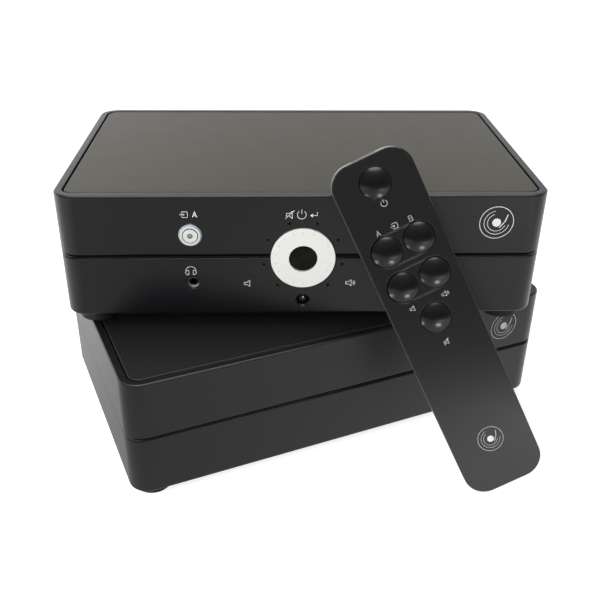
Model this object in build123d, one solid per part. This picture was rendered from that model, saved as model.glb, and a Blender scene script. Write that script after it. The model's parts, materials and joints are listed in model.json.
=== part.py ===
from build123d import *
import math
import os

# Phono preamplifier in two stacked cases with a remote control.
# Millimetres, +Z up, fronts towards -Y. The origin is on the table, under the
# middle of the power supply.

# ---- Case: both units use the same one -------------------------------------
case_width = 235.0
case_depth = 142.0
corner_radius = 10.0
inner_corner_radius = 2.0      # smallest corner inside the walls
lower_height = 31.3            # lower shell, underside to seam
upper_height = 32.2            # upper shell, seam to rim
wall = 4.0
floor_thickness = 3.0
underside_round = 1.5
rim_chamfer = 0.6
rim_width = 3.8
seam_chamfer = 0.3
lip_inset = 2.4                # lip that locates the upper shell
lip_height = 0.8
lip_gap = 0.1
seam_slot_depth = 0.8          # shadow line around the case
seam_slot_height = 0.4

# ---- Top plate --------------------------------------------------------------
plate_thickness = 3.0
plate_gap = 1.0
plate_recess = 0.1
plate_chamfer = 0.3
ledge_width = 9.0
ledge_thickness = 3.0

# ---- Groove along the front seam --------------------------------------------
groove_height = 2.1
groove_depth = 3.2             # under its upper edge
groove_floor_depth = 0.6       # where its sloping floor ends

# ---- Feet and screws ----------------------------------------------------------
foot_height = 7.0
foot_radius = 10.0
foot_taper = 0.7
foot_round = 0.8
foot_side_inset = 13.0
foot_end_inset = 15.5
foot_recess_radius = 3.6
foot_recess_depth = 3.6
screw_shank_radius = 1.5
screw_length = 8.0
screw_head_radius = 2.8
screw_head_height = 2.0
screw_socket_radius = 1.3
screw_socket_depth = 1.1
screw_hole_gap = 0.2           # clearance hole
thread_gap = 0.05              # tapped hole
post_radius = 4.5              # posts of the upper shell
post_wall_gap = 0.5
post_spacing = 60.0
post_hole_depth = 9.0
screw_seat_depth = 1.6         # sunk into the floor
screw_seat_gap = 0.3
foot_boss_radius = 4.0
foot_boss_height = 3.0

# ---- Rear panel ------------------------------------------------------------------
window_side = 13.5             # from the side of the case
window_border = 2.0            # shoulder that the panel bears on
panel_thickness = 2.0
panel_setback = 1.5
panel_gap = 0.15

# ---- Circuit boards -----------------------------------------------------------------
board_thickness = 1.6
board_rise = 9.0
board_boss_radius = 3.5
board_edge_to_screw = 6.0
audio_board_side_gap = 8.0     # to the posts of the upper shell
audio_board_front_gap = 7.4    # to the front board
audio_board_back_gap = 2.0     # to the phono sockets
audio_screw_columns = 3
front_board_width = 136.0
front_board_gap = 9.0          # front wall to board
front_board_clearance = 2.0    # above the floor
front_board_top_gap = 2.4      # below the ledge

# ---- Volume dial ----------------------------------------------------------------
dial_height = 31.2             # axis above the case underside
ring_radius = 15.7
ring_proud = 1.0
ring_disc_thickness = 3.5
ring_edge_round = 0.3
ring_hole_gap = 0.3
hub_flange_radius = 14.0       # bonded to the back of the ring
hub_flange_thickness = 1.2
hub_radius = 11.5
hub_end_gap = 0.3
dimple_count = 18
dimple_circle_radius = 13.5
dimple_radius = 0.25
dimple_depth = 0.2
sleeve_radius = 8.6
sleeve_wall = 2.17
sleeve_fit = 0.06
encoder_radius = 13.0
encoder_thickness = 5.5
select_fit = 0.08              # in the sleeve
select_gap = 0.6               # to the ring
select_recess = 0.4            # rim of the lens behind the face of the ring
select_dome = 0.5
led_ring_gap = 3.6             # from the ring to the lamps
led_angles = (20.0, 60.0, 100.0, 140.0)
led_radius = 0.5
led_hole_gap = 0.08
led_recess = 0.3

# ---- Input buttons, headphone jacks and infrared eye --------------------------------
input_button_x = 53.8
input_button_height = 43.7
bezel_radius = 4.6
bezel_bore_radius = 3.75
bezel_proud = 1.1
bezel_flare_radius = 6.0       # on the face of the case
bezel_face_radius = 4.9
bezel_nut_radius = 6.6
bezel_nut_thickness = 1.5
bezel_thread_length = 0.8      # beyond the nut
bezel_hole_gap = 0.1
button_gap = 0.3
button_proud = 0.2             # beyond the bezel
button_eye_radius = 1.3
button_eye_depth = 0.3
button_travel = 0.6
press_clearance = 0.3
switch_size = 6.0
switch_height = 3.5
jack_x = 53.6
jack_height = 17.9
jack_nose_radius = 2.95
jack_nose_gap = 0.1
jack_recess = 3.0
jack_chamfer = 0.45
jack_ferrule_wall = 0.4
jack_ferrule_recess = 0.5
jack_bore_radius = 1.8
jack_bore_length = 13.5
jack_body_width = 12.0
jack_body_height = 11.0
jack_body_length = 13.0
jack_cutout_gap = 0.3
eye_height = 7.6
eye_radius = 2.5
eye_gap = 0.15
eye_chamfer = 1.0
eye_recess = 1.4
eye_block = 6.0
eye_block_length = 4.0

# ---- Parts on the audio board ---------------------------------------------------------
small_can_radius = 5.0
small_can_height = 16.0
small_can_spacing = 14.0
small_cans_per_side = 4
can_edge_chamfer = 0.6
film_caps_per_side = 2
film_cap_length = 18.0
film_cap_width = 8.0
film_cap_height = 13.0
film_cap_spacing = 24.0
film_cap_round = 1.0
relay_length = 20.0
relay_width = 10.0
relay_height = 10.5
relay_spacing = 26.0
relays_per_side = 2
chip_length = 10.0
chip_width = 6.4
chip_height = 3.4
chip_spacing = 18.0
chips_per_side = 3
channel_x = 50.0               # middle of each channel's half of the board
can_row_offset = 19.0          # rows, from the front edge of the board
film_row_offset = 41.0
chip_row_offset = 63.0
relay_row_offset = 85.0

# ---- Sockets at the back -------------------------------------------------------------------
round_socket_drop = 17.4       # three-pole sockets, axis below the top of the window
sockets_per_side = 2
socket_flange_width = 26.0
socket_flange_height = 31.0
socket_flange_thickness = 2.0
socket_flange_round = 2.0
socket_screw_x = 9.5
socket_screw_z = 12.0
socket_barrel_radius = 11.4
socket_barrel_length = 18.0
socket_hole_gap = 0.3
socket_cup_radius = 9.3
socket_cup_depth = 14.0
socket_insert_radius = 6.9
socket_pin_radius = 1.2
socket_pin_length = 9.0
socket_pin_circle = 3.6
socket_pin_count = 3
socket_pin_angle = -90.0       # of the first pin
socket_contact_gap = 0.1
rca_height = 13.0
rca_pitch = 16.0
rca_input_x = 19.0             # innermost input
rca_input_count = 4
rca_output_x = 35.0            # innermost output, on the other side
rca_output_count = 2
rca_barrel_radius = 4.15
rca_barrel_length = 9.0
rca_hole_radius = 1.6
rca_hole_depth = 8.0
rca_nut_radius = 6.3
rca_nut_thickness = 2.0
rca_back_radius = 5.0
rca_back_length = 4.5
rca_panel_gap = 0.1
post_height = 24.0             # ground post, axis above the case underside
ground_post_x = 0.0
ground_base_radius = 5.5
ground_base_thickness = 1.5
ground_stem_radius = 2.0
ground_stem_length = 10.0
ground_stem_back = 1.0         # behind the panel
ground_nut_radius = 5.2
ground_nut_height = 6.0
ground_nut_gap = 0.3
ground_nut_fit = 0.06
ground_nut_flutes = 12
ground_flute_radius = 0.6
link_from_edge = 16.0          # power link, from the side of the window
link_socket_height = 30.0
link_flange_radius = 9.5
link_flange_thickness = 2.0
link_barrel_radius = 7.6
link_barrel_length = 12.0
link_cup_radius = 6.2
link_cup_depth = 9.5
link_pin_radius = 0.7
link_pin_length = 4.8
link_pin_circle = 3.8
link_pin_count = 5
link_pin_angle = 90.0          # of the first pin

# ---- Power supply ------------------------------------------------------------------------
supply_turn = 22.0
core_side_gap = 24.5           # to the side wall
core_outer_radius = 47.0
core_inner_radius = 14.0
core_height = 36.0
core_round = 11.0
pad_thickness = 2.0
pad_radius = 44.0
clamp_radius = 38.0
clamp_thickness = 1.5
clamp_dish = 3.0
bolt_radius = 3.0
bolt_head_radius = 5.5
bolt_head_height = 4.0
bolt_washer_gap = 0.3
core_boss_radius = 9.0
supply_board_depth = 92.0
supply_screw_columns = 2
supply_board_side_gap = 16.5   # to the side wall
supply_board_core_gap = 14.0   # to the transformer
supply_board_front_gap = 7.0   # to the front wall
big_can_radius = 11.0
big_can_height = 35.0
big_can_spacing = 26.0
big_can_rows = 2
big_can_columns = 2
big_can_offset_y = -31.0
sink_width = 62.0
sink_height = 30.0
sink_base = 4.0
sink_fin_length = 14.0
sink_fin_thickness = 1.8
sink_fin_count = 9
sink_offset_y = 14.0
regulator_width = 10.0
regulator_height = 15.0
regulator_thickness = 4.5
regulator_count = 3
regulator_spacing = 20.0
regulator_lead_height = 4.0
regulator_lead_width = 6.0
regulator_lead_thickness = 1.0

# ---- Mains inlet with fuse drawer and rocker switch -----------------------------------------
mains_from_edge = 42.0         # from the side of the window
mains_height = 30.0
mains_flange_width = 60.0
mains_flange_height = 31.0
mains_flange_thickness = 2.0
mains_flange_round = 2.0
mains_body_margin = 2.0
mains_body_depth = 22.0
mains_hole_gap = 0.3
inlet_offset_x = 2.0
inlet_width = 24.2
inlet_height = 16.4
inlet_corner = 4.0
inlet_depth = 17.5
blade_width = 2.0
blade_height = 4.0
blade_length = 11.0
blade_spacing = 14.0
earth_blade_rise = 2.0
fuse_offset_x = 22.5
fuse_width = 8.5
fuse_height = 22.0
fuse_depth = 17.0
fuse_face_thickness = 1.2
fuse_face_margin = 1.2
fuse_slot_gap = 0.3
fuse_slot_extra = 0.5
fuse_tray_wall = 1.0
rocker_offset_x = -20.5
rocker_width = 11.0
rocker_height = 18.0
rocker_end_rise = 3.2
rocker_middle_rise = 1.4
rocker_back = 5.0
rocker_back_height = 10.0
rocker_angle = 10.0
rocker_gap = 0.6
rocker_end_gap = 1.2           # room for its ends to swing
rocker_well_depth = 9.0
rocker_pivot_depth = 0.6
rocker_pin_radius = 1.2
rocker_pin_length = 1.2
rocker_pin_fit = 0.05

# ---- Remote control ----------------------------------------------------------------------------
remote_side_gap = 2.0          # from the outermost flange to the wall
remote_length = 177.2
remote_corner = 11.0
remote_thickness = 7.8
remote_plate_thickness = 1.2
remote_seam = 0.3
remote_seam_depth = 1.0
remote_wall = 2.0
remote_back_thickness = 1.5
remote_back_round = 1.0
remote_plate_chamfer = 0.2
remote_button_radius = 7.2
remote_button_gap = 0.3
remote_button_dome = 2.0
remote_button_edge = 0.3       # straight rim above the plate
remote_flange_extra = 0.6
remote_flange_thickness = 0.7
remote_flange_gap = 0.15
remote_stem_radius = 2.0
remote_travel = 0.6
remote_switch_radius = 3.0
remote_switch_height = 0.9
remote_board_thickness = 1.0
remote_board_gap = 0.5
remote_board_cell_gap = 10.4   # from the cell's wall to the board
remote_flange_spacing = 0.8    # between the flanges of a pair
remote_power_from_top = 12.6
remote_pair_from_top = 44.1    # upper pair
remote_pair_pitch = 18.5
remote_mute_from_top = 82.6
pair_line_width = 0.3
pair_line_depth = 0.3
cell_from_foot = 38.6
cell_radius = 10.0
cell_thickness = 3.2
cell_gap = 0.3
cell_wall = 1.0
cover_radius = 11.6
cover_gap = 0.3
cover_slot_width = 1.8
cover_slot_length = 14.0
cover_slot_depth = 0.7
eye_window_width = 12.0
eye_window_height = 3.0
eye_window_gap = 0.05
eye_window_rise = 1.0          # above the inside of the back
remote_lean = 73.4             # from the table
remote_tilt = 25.5             # turned in its own plane
remote_x = 64.8                # middle of the remote, along the edge it leans on
rest_gap = 0.3
table_gap = 0.1

# ---- Stack ------------------------------------------------------------------------------------
control_back = 15.3            # control unit set back on the power supply

# ---- Values that follow -----------------------------------------------------------------------
case_low = foot_height
seam_z = case_low + lower_height
rim_z = seam_z + upper_height
floor_z = case_low + floor_thickness
plate_z = rim_z - plate_recess - plate_thickness
ledge_z = plate_z - ledge_thickness
front_y = -case_depth / 2
back_y = case_depth / 2
front_inner_y = front_y + wall
front_board_y = front_inner_y + front_board_gap
panel_y = back_y - panel_setback
dial_z = case_low + dial_height
board_z = floor_z + board_rise
board_top = board_z + board_thickness
post_x = case_width / 2 - wall - post_wall_gap - post_radius
foot_x = case_width / 2 - foot_side_inset
foot_y = case_depth / 2 - foot_end_inset
reach = 2 * wall               # how far long cutters run past a face
past = 1.0                     # how far short cutters run past a face
overlap = 0.5                  # how far joined solids run into each other
thin_overlap = 0.1             # the same in thin pieces
level_tolerance = 0.001

window_width = case_width - 2 * window_side
link_socket_x = window_width / 2 - link_from_edge
socket_row_width = link_socket_x - link_flange_radius - ground_base_radius
socket_row_gap = (socket_row_width - sockets_per_side * socket_flange_width) / (sockets_per_side + 1)
socket_pitch = socket_flange_width + socket_row_gap
inner_socket_x = ground_base_radius + socket_pitch - socket_flange_width / 2
mains_x = window_width / 2 - mains_from_edge

front_board_height = ledge_z - front_board_top_gap - floor_z - front_board_clearance
audio_board_width = 2 * (post_x - post_radius - audio_board_side_gap)
audio_board_front = front_board_y + board_thickness + audio_board_front_gap
audio_board_back = panel_y - panel_thickness - rca_back_length - audio_board_back_gap
audio_board_depth = audio_board_back - audio_board_front
audio_board_y = (audio_board_front + audio_board_back) / 2
core_x = core_outer_radius + core_side_gap + wall - case_width / 2
supply_board_left = core_x + core_outer_radius + supply_board_core_gap
supply_board_right = case_width / 2 - wall - supply_board_side_gap
supply_board_width = supply_board_right - supply_board_left
supply_board_x = (supply_board_left + supply_board_right) / 2
supply_board_y = front_inner_y + supply_board_front_gap + supply_board_depth / 2

ring_back = ring_proud - ring_disc_thickness
sleeve_end = ring_back - hub_end_gap
sleeve_bore_radius = sleeve_radius - sleeve_wall
select_radius = sleeve_bore_radius - select_fit
led_circle_radius = ring_radius + led_ring_gap

remote_flange_radius = remote_button_radius + remote_flange_extra
remote_pair_spacing = 2 * remote_flange_radius + remote_flange_spacing
remote_inner_width = remote_pair_spacing + 2 * (remote_flange_radius + remote_side_gap)
remote_width = remote_inner_width + 2 * remote_wall


# ---- Helpers ------------------------------------------------------------------------------------

def block(width, depth, radius, low, high):
    """Upright slab with rounded corners between two heights."""
    return Pos(0, 0, low) * extrude(RectangleRounded(width, depth, radius), high - low)


def case_block(inset, low, high):
    """Slab that follows the outline of the case, a fixed distance inside it."""
    radius = max(corner_radius - inset, inner_corner_radius)
    return block(case_width - 2 * inset, case_depth - 2 * inset, radius, low, high)


def rod(radius, low, high):
    """Upright cylinder between two heights."""
    return Pos(0, 0, low) * Cylinder(radius, high - low, align=(Align.CENTER, Align.CENTER, Align.MIN))


def box(width, depth, low, high):
    """Upright box between two heights, centred on the axis."""
    return Pos(0, 0, low) * Box(width, depth, high - low, align=(Align.CENTER, Align.CENTER, Align.MIN))


def cone(low_radius, high_radius, low, high):
    """Upright cone between two heights."""
    middle = (Align.CENTER, Align.CENTER, Align.MIN)
    return Pos(0, 0, low) * Cone(low_radius, high_radius, high - low, align=middle)


def at_front(x, z, shape):
    """Turn a shape's +Z to -Y and set its base on the outer face of the front wall."""
    return Pos(x, front_y, z) * Rot(90, 0, 0) * shape


def at_back(x, z, shape):
    """Turn a shape's +Z to +Y, +Y up, and set its base on the outer face of the rear panel."""
    return Pos(x, panel_y, z) * Rot(0, 0, 180) * Rot(90, 0, 0) * shape


def top_edges(shape, height):
    """Edges that lie in the level plane at a height."""
    return shape.edges().filter_by_position(Axis.Z, height - level_tolerance, height + level_tolerance)


def grid(x_step, y_step, x_count, y_count):
    """Centred grid of places."""
    places = []
    for column in range(x_count):
        for row in range(y_count):
            x = (column - (x_count - 1) / 2) * x_step
            y = (row - (y_count - 1) / 2) * y_step
            places.append((x, y))
    return places


def control_place(shape):
    """Stand a shape of the control unit on the power supply."""
    return Pos(0, control_back, rim_z) * shape


def supply_place(shape):
    """Turn a shape of the power supply under the control unit."""
    return Rot(0, 0, supply_turn) * shape


parts = {}


def keep(name, shapes, place):
    """Record one node: a single solid or a group of them."""
    solids = []
    for shape in shapes:
        solids.extend(place(shape).solids())
    parts[name] = solids


# ---- Fasteners and feet -------------------------------------------------------------------------

def screw():
    """Pan-head screw with a hexagon socket, head down, thread up."""
    body = rod(screw_head_radius, -screw_head_height, 0) + rod(screw_shank_radius, 0, screw_length)
    socket = extrude(RegularPolygon(screw_socket_radius, 6), screw_socket_depth)
    return body - Pos(0, 0, -screw_head_height) * socket


def foot():
    """Round rubber foot with a sunk hole for its screw."""
    low_radius = foot_radius - foot_taper
    body = cone(low_radius, foot_radius, 0, foot_height)
    body = fillet(top_edges(body, 0), foot_round)
    body -= rod(foot_recess_radius, -past, foot_recess_depth)
    return body - rod(screw_shank_radius + screw_hole_gap, 0, foot_height + past)


foot_places = grid(2 * foot_x, 2 * foot_y, 2, 2)
post_places = grid(2 * post_x, post_spacing, 2, 2)


def case_screw_shapes():
    """Screws that hold the feet on and the two shells together."""
    shapes = [Pos(x, y, foot_recess_depth) * screw() for x, y in foot_places]
    shapes += [Pos(x, y, case_low + screw_seat_depth) * screw() for x, y in post_places]
    return shapes


# ---- Case shells ---------------------------------------------------------------------------------

def rear_window():
    """Opening in the back wall, with the rebate that the rear panel sits in."""
    low = floor_z + window_border
    high = ledge_z - window_border
    middle_y = back_y - wall / 2
    opening = Pos(0, middle_y, 0) * box(window_width, reach, low, high)
    rebate_depth = wall - panel_setback + past
    rebate_y = panel_y - rebate_depth / 2
    rebate_width = window_width + 2 * window_border
    return opening + Pos(0, rebate_y, 0) * box(rebate_width, rebate_depth, floor_z, ledge_z)


def groove_cutter():
    """Groove with a sloping floor along the front seam, which runs out in the corners."""
    outside = front_y - past
    points = [
        (outside, seam_z),
        (outside, seam_z + groove_height),
        (front_y + groove_depth, seam_z + groove_height),
        (front_y + groove_floor_depth, seam_z + seam_slot_height),
        (front_y + groove_floor_depth, seam_z),
    ]
    profile = make_face(Polyline(*[(y, z) for y, z in points], close=True))
    return extrude(Plane.YZ * profile, case_width / 2, both=True)


def lower_shell(front_holes, bosses):
    """Tray with the feet, the board bosses and the locating lip."""
    shell = case_block(0, case_low, seam_z)
    shell = fillet(top_edges(shell, case_low), underside_round)
    shell = chamfer(top_edges(shell, seam_z), seam_chamfer)
    shell += case_block(lip_inset, seam_z - overlap, seam_z + lip_height)
    shell -= case_block(wall, floor_z, seam_z + reach)
    shell -= rear_window()
    for x, y, radius, height in bosses:
        shell += Pos(x, y, 0) * rod(radius, floor_z - overlap, floor_z + height)
    for x, y in foot_places:
        shell += Pos(x, y, 0) * rod(foot_boss_radius, floor_z - overlap, floor_z + foot_boss_height)
        shell -= Pos(x, y, 0) * rod(screw_shank_radius + thread_gap, 0, floor_z + foot_boss_height + past)
    for x, y in post_places:
        shell -= Pos(x, y, 0) * rod(screw_shank_radius + screw_hole_gap, 0, floor_z + past)
        shell -= Pos(x, y, 0) * rod(screw_head_radius + screw_seat_gap, 0, case_low + screw_seat_depth)
    for hole in front_holes:
        shell -= hole
    return shell


def upper_shell(front_holes):
    """Frame with the top plate's ledge and the four screw posts."""
    shell = case_block(0, seam_z, rim_z)
    shell = chamfer(top_edges(shell, rim_z), rim_chamfer)
    shell -= case_block(rim_width, plate_z, rim_z + reach)
    shell -= case_block(wall + ledge_width, ledge_z - past, rim_z)
    shell -= case_block(wall, seam_z - past, ledge_z)
    shell -= case_block(lip_inset - lip_gap, seam_z - past, seam_z + lip_height + lip_gap)
    slot = case_block(-past, seam_z - past, seam_z + seam_slot_height)
    shell -= slot - case_block(seam_slot_depth, seam_z - 2 * past, rim_z)
    shell -= groove_cutter()
    shell -= rear_window()
    for x, y in post_places:
        shell += Pos(x, y, 0) * rod(post_radius, floor_z, ledge_z + overlap)
        hole_high = floor_z + post_hole_depth
        shell -= Pos(x, y, 0) * rod(screw_shank_radius + thread_gap, floor_z - past, hole_high)
    for hole in front_holes:
        shell -= hole
    return shell


def top_plate():
    """Lid plate that lies in the rim."""
    plate = case_block(rim_width + plate_gap, plate_z, plate_z + plate_thickness)
    return chamfer(top_edges(plate, plate_z + plate_thickness), plate_chamfer)


def rear_panel(cutters):
    """Sheet that carries the sockets."""
    width = window_width + 2 * (window_border - panel_gap)
    middle_y = panel_y - panel_thickness / 2
    panel = Pos(0, middle_y, 0) * box(width, panel_thickness, floor_z, ledge_z)
    for cutter in cutters:
        panel -= cutter
    return panel


def save_case(name, place, front_holes, bosses, panel_cutters, extra_screws):
    """The nodes that the two units share."""
    keep(name + "_lower_shell", [lower_shell(front_holes, bosses)], place)
    keep(name + "_upper_shell", [upper_shell(front_holes)], place)
    keep(name + "_top_plate", [top_plate()], place)
    keep(name + "_rear_panel", [rear_panel(panel_cutters)], place)
    keep(name + "_feet", [Pos(x, y, 0) * foot() for x, y in foot_places], place)
    keep(name + "_screws", case_screw_shapes() + extra_screws, place)


# ---- Boards --------------------------------------------------------------------------------------

def board(width, depth, centre_x, centre_y, hole_places):
    """Circuit board with its screw holes."""
    shape = Pos(centre_x, centre_y, 0) * box(width, depth, board_z, board_top)
    for x, y in hole_places:
        shape -= Pos(x, y, 0) * rod(screw_shank_radius + screw_hole_gap, board_z - past, board_top + past)
    return shape


def board_places(width, depth, centre_x, centre_y, columns):
    """Screw places near the edges of a board."""
    x_step = (width - 2 * board_edge_to_screw) / (columns - 1)
    y_step = depth - 2 * board_edge_to_screw
    return [(centre_x + x, centre_y + y) for x, y in grid(x_step, y_step, columns, 2)]


def board_bosses(places):
    """Bosses under a board, bored for the screws."""
    return [(x, y, board_boss_radius, board_rise) for x, y in places]


def board_boss_holes(places):
    """Tapped holes in the bosses under a board."""
    return [Pos(x, y, 0) * rod(screw_shank_radius + thread_gap, floor_z, board_z + past) for x, y in places]


def board_screws(places):
    """Screws that hold a board down."""
    return [Pos(x, y, board_top) * Rot(180, 0, 0) * screw() for x, y in places]


def can(radius, height):
    """Upright capacitor can with a bevelled top."""
    return chamfer(top_edges(rod(radius, 0, height), height), can_edge_chamfer)


# ---- Sockets -------------------------------------------------------------------------------------

def contact_places(circle_radius, count, first_angle):
    """Places of contacts on a circle."""
    places = []
    for index in range(count):
        angle = math.radians(first_angle + 360 * index / count)
        places.append((circle_radius * math.cos(angle), circle_radius * math.sin(angle)))
    return places


socket_contacts = contact_places(socket_pin_circle, socket_pin_count, socket_pin_angle)
socket_screw_places = [(-socket_screw_x, socket_screw_z), (socket_screw_x, -socket_screw_z)]
link_contacts = contact_places(link_pin_circle, link_pin_count, link_pin_angle)


def round_socket_blank():
    """Flange and barrel of a three-pole socket, base plane on the panel."""
    flange = block(socket_flange_width, socket_flange_height, socket_flange_round, 0, socket_flange_thickness)
    blank = flange + rod(socket_barrel_radius, -socket_barrel_length, overlap)
    hole_radius = screw_shank_radius + screw_hole_gap
    for x, y in socket_screw_places:
        blank -= Pos(x, y, 0) * rod(hole_radius, -past, socket_flange_thickness + past)
    return blank


def round_socket_inlet():
    """Socket with three holes in an insert, for an incoming plug."""
    top = socket_flange_thickness
    trench = rod(socket_cup_radius, top - socket_cup_depth, top + past)
    trench -= rod(socket_insert_radius, top - socket_cup_depth - past, top + 2 * past)
    shape = round_socket_blank() - trench
    for x, y in socket_contacts:
        hole_radius = socket_pin_radius + socket_contact_gap
        shape -= Pos(x, y, 0) * rod(hole_radius, top - socket_pin_length, top + past)
    return shape


def round_socket_outlet():
    """Socket with three pins in a cup."""
    top = socket_flange_thickness
    base = top - socket_cup_depth
    shape = round_socket_blank() - rod(socket_cup_radius, base, top + past)
    for x, y in socket_contacts:
        shape += Pos(x, y, 0) * rod(socket_pin_radius, base - overlap, base + socket_pin_length)
    return shape


def round_socket_cutter():
    """Hole in the panel for a three-pole socket and its two screws."""
    cutter = rod(socket_barrel_radius + socket_hole_gap, -reach, reach)
    for x, y in socket_screw_places:
        cutter += Pos(x, y, 0) * rod(screw_shank_radius + thread_gap, -reach, reach)
    return cutter


def rca_socket():
    """Phono socket: barrel, nut and the part behind the panel."""
    shape = rod(rca_nut_radius, 0, rca_nut_thickness)
    shape += rod(rca_barrel_radius, 0, rca_nut_thickness + rca_barrel_length)
    shape += rod(rca_back_radius, -panel_thickness - rca_back_length, 0)
    top = rca_nut_thickness + rca_barrel_length
    return shape - rod(rca_hole_radius, top - rca_hole_depth, top + past)


def link_blank():
    """Flange and barrel of the power link socket."""
    shape = rod(link_flange_radius, 0, link_flange_thickness)
    return shape + rod(link_barrel_radius, -link_barrel_length, overlap)


def link_inlet():
    """Power link socket of the control unit, with pins in a cup."""
    base = link_flange_thickness - link_cup_depth
    shape = link_blank() - rod(link_cup_radius, base, link_flange_thickness + past)
    for x, y in link_contacts:
        shape += Pos(x, y, 0) * rod(link_pin_radius, base - overlap, base + link_pin_length)
    return shape


def link_outlet():
    """Power link socket of the supply, with holes in its face."""
    shape = link_blank()
    for x, y in link_contacts:
        hole_radius = link_pin_radius + socket_contact_gap
        shape -= Pos(x, y, 0) * rod(hole_radius, link_flange_thickness - link_cup_depth, reach)
    return shape


def link_cutter():
    """Hole in the panel for a power link socket."""
    return rod(link_barrel_radius + socket_hole_gap, -reach, reach)


# ---- Control unit: front -------------------------------------------------------------------------

def wall_hole(radius, edge_chamfer):
    """Cutter through the front wall, +Z outwards, base plane on the outer face."""
    cutter = rod(radius, -wall - reach, reach)
    if edge_chamfer > 0:
        cutter += cone(radius, radius + edge_chamfer + past, -edge_chamfer, past)
    return cutter


def led_places():
    """Places of the position lamps around the dial."""
    places = []
    for angle in led_angles:
        for side in (-1, 1):
            turn = math.radians(angle * side)
            x = led_circle_radius * math.sin(turn)
            places.append((x, dial_z + led_circle_radius * math.cos(turn)))
    return places


def control_front_holes():
    """Every hole in the front of the control unit."""
    holes = [at_front(0, dial_z, wall_hole(ring_radius + ring_hole_gap, 0))]
    for x, z in led_places():
        holes.append(at_front(x, z, wall_hole(led_radius + led_hole_gap, 0)))
    for side in (-1, 1):
        button_cutter = wall_hole(bezel_radius + bezel_hole_gap, 0)
        holes.append(at_front(side * input_button_x, case_low + input_button_height, button_cutter))
        jack_cutter = wall_hole(jack_nose_radius + jack_nose_gap, jack_chamfer)
        holes.append(at_front(side * jack_x, case_low + jack_height, jack_cutter))
    holes.append(at_front(0, case_low + eye_height, wall_hole(eye_radius + eye_gap, eye_chamfer)))
    return holes


board_depth_behind_face = front_board_y - front_y


def volume_ring():
    """Dial ring: a dimpled disc with a straight bore."""
    ring = rod(ring_radius, ring_back, ring_proud)
    ring = fillet(top_edges(ring, ring_proud), ring_edge_round)
    ring -= rod(select_radius + select_gap, ring_back - past, ring_proud + past)
    for x, y in contact_places(dimple_circle_radius, dimple_count, 180 / dimple_count):
        ring -= Pos(x, y, 0) * rod(dimple_radius, ring_proud - dimple_depth, ring_proud + past)
    return ring


def volume_hub():
    """Flanged hub behind the ring that turns on the encoder's sleeve."""
    hub_end = encoder_thickness - board_depth_behind_face + hub_end_gap
    hub = rod(hub_flange_radius, ring_back - hub_flange_thickness, ring_back)
    hub += rod(hub_radius, hub_end, ring_back)
    return hub - rod(sleeve_radius + sleeve_fit, hub_end - past, ring_back + past)


def volume_encoder():
    """Rotary encoder with a hollow sleeve, on the front board."""
    base = -board_depth_behind_face
    body = rod(encoder_radius, base, base + encoder_thickness)
    body += rod(sleeve_radius, base, sleeve_end)
    return body - rod(sleeve_bore_radius, base - past, sleeve_end + past)


def switch_top():
    """Height of a switch's top, measured from the outer face of the front wall."""
    return -board_depth_behind_face + switch_height


def select_button():
    """Domed lens in the middle of the dial, pressed to select."""
    low = switch_top() + button_travel + press_clearance
    rim = ring_proud - select_recess
    body = rod(select_radius, low, rim)
    sphere_radius = (select_radius ** 2 + select_dome ** 2) / (2 * select_dome)
    dome = Pos(0, 0, rim + select_dome - sphere_radius) * Sphere(sphere_radius)
    dome &= rod(select_radius, rim - thin_overlap, rim + select_dome + past)
    return body + dome


def bezel():
    """Flared ring around an input button."""
    low = -wall - bezel_nut_thickness - bezel_thread_length
    shape = rod(bezel_radius, low, overlap)
    shape += cone(bezel_flare_radius, bezel_face_radius, 0, bezel_proud)
    return shape - rod(bezel_bore_radius, low - past, bezel_proud + past)


def bezel_nut():
    """Nut that holds a bezel behind the wall."""
    nut = rod(bezel_nut_radius, -wall - bezel_nut_thickness, -wall)
    return nut - rod(bezel_radius + thread_gap, -wall - bezel_nut_thickness - past, -wall + past)


def input_button():
    """Button cap with a small eye in its face."""
    low = switch_top() + button_travel + press_clearance
    high = bezel_proud + button_proud
    shape = rod(bezel_bore_radius - button_gap, low, high)
    return shape - rod(button_eye_radius, high - button_eye_depth, high + past)


def tact_switch():
    """Switch on the front board behind a button."""
    return box(switch_size, switch_size, -board_depth_behind_face, switch_top())


def headphone_jack():
    """Jack with a round nose in the front wall."""
    nose_face = -jack_recess
    shape = rod(jack_nose_radius, -wall - overlap, nose_face)
    shape += box(jack_body_width, jack_body_height, -wall - jack_body_length, -wall)
    return shape - rod(jack_bore_radius, nose_face - jack_bore_length, nose_face + past)


def jack_ferrule():
    """Turned ring in front of a jack's nose."""
    ferrule = rod(jack_nose_radius, -jack_recess, -jack_ferrule_recess)
    return ferrule - rod(jack_nose_radius - jack_ferrule_wall, -jack_recess - past, past)


def infrared_eye():
    """Domed receiver lens on its block."""
    face = -eye_recess - eye_radius
    lens = rod(eye_radius, -board_depth_behind_face + eye_block_length - overlap, face)
    lens += Pos(0, 0, face) * Sphere(eye_radius)
    block_top = -board_depth_behind_face + eye_block_length
    return lens + box(eye_block, eye_block, -board_depth_behind_face, block_top)


def front_board():
    """Upright board behind the front wall."""
    low = floor_z + front_board_clearance
    middle_y = front_board_y + board_thickness / 2
    shape = Pos(0, middle_y, 0) * box(front_board_width, board_thickness, low, low + front_board_height)
    for side in (-1, 1):
        width = jack_body_width + 2 * jack_cutout_gap
        height = jack_body_height + 2 * jack_cutout_gap
        cutter = box(width, height, -wall - jack_body_length, 0)
        shape -= at_front(side * jack_x, case_low + jack_height, cutter)
    return shape


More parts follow.
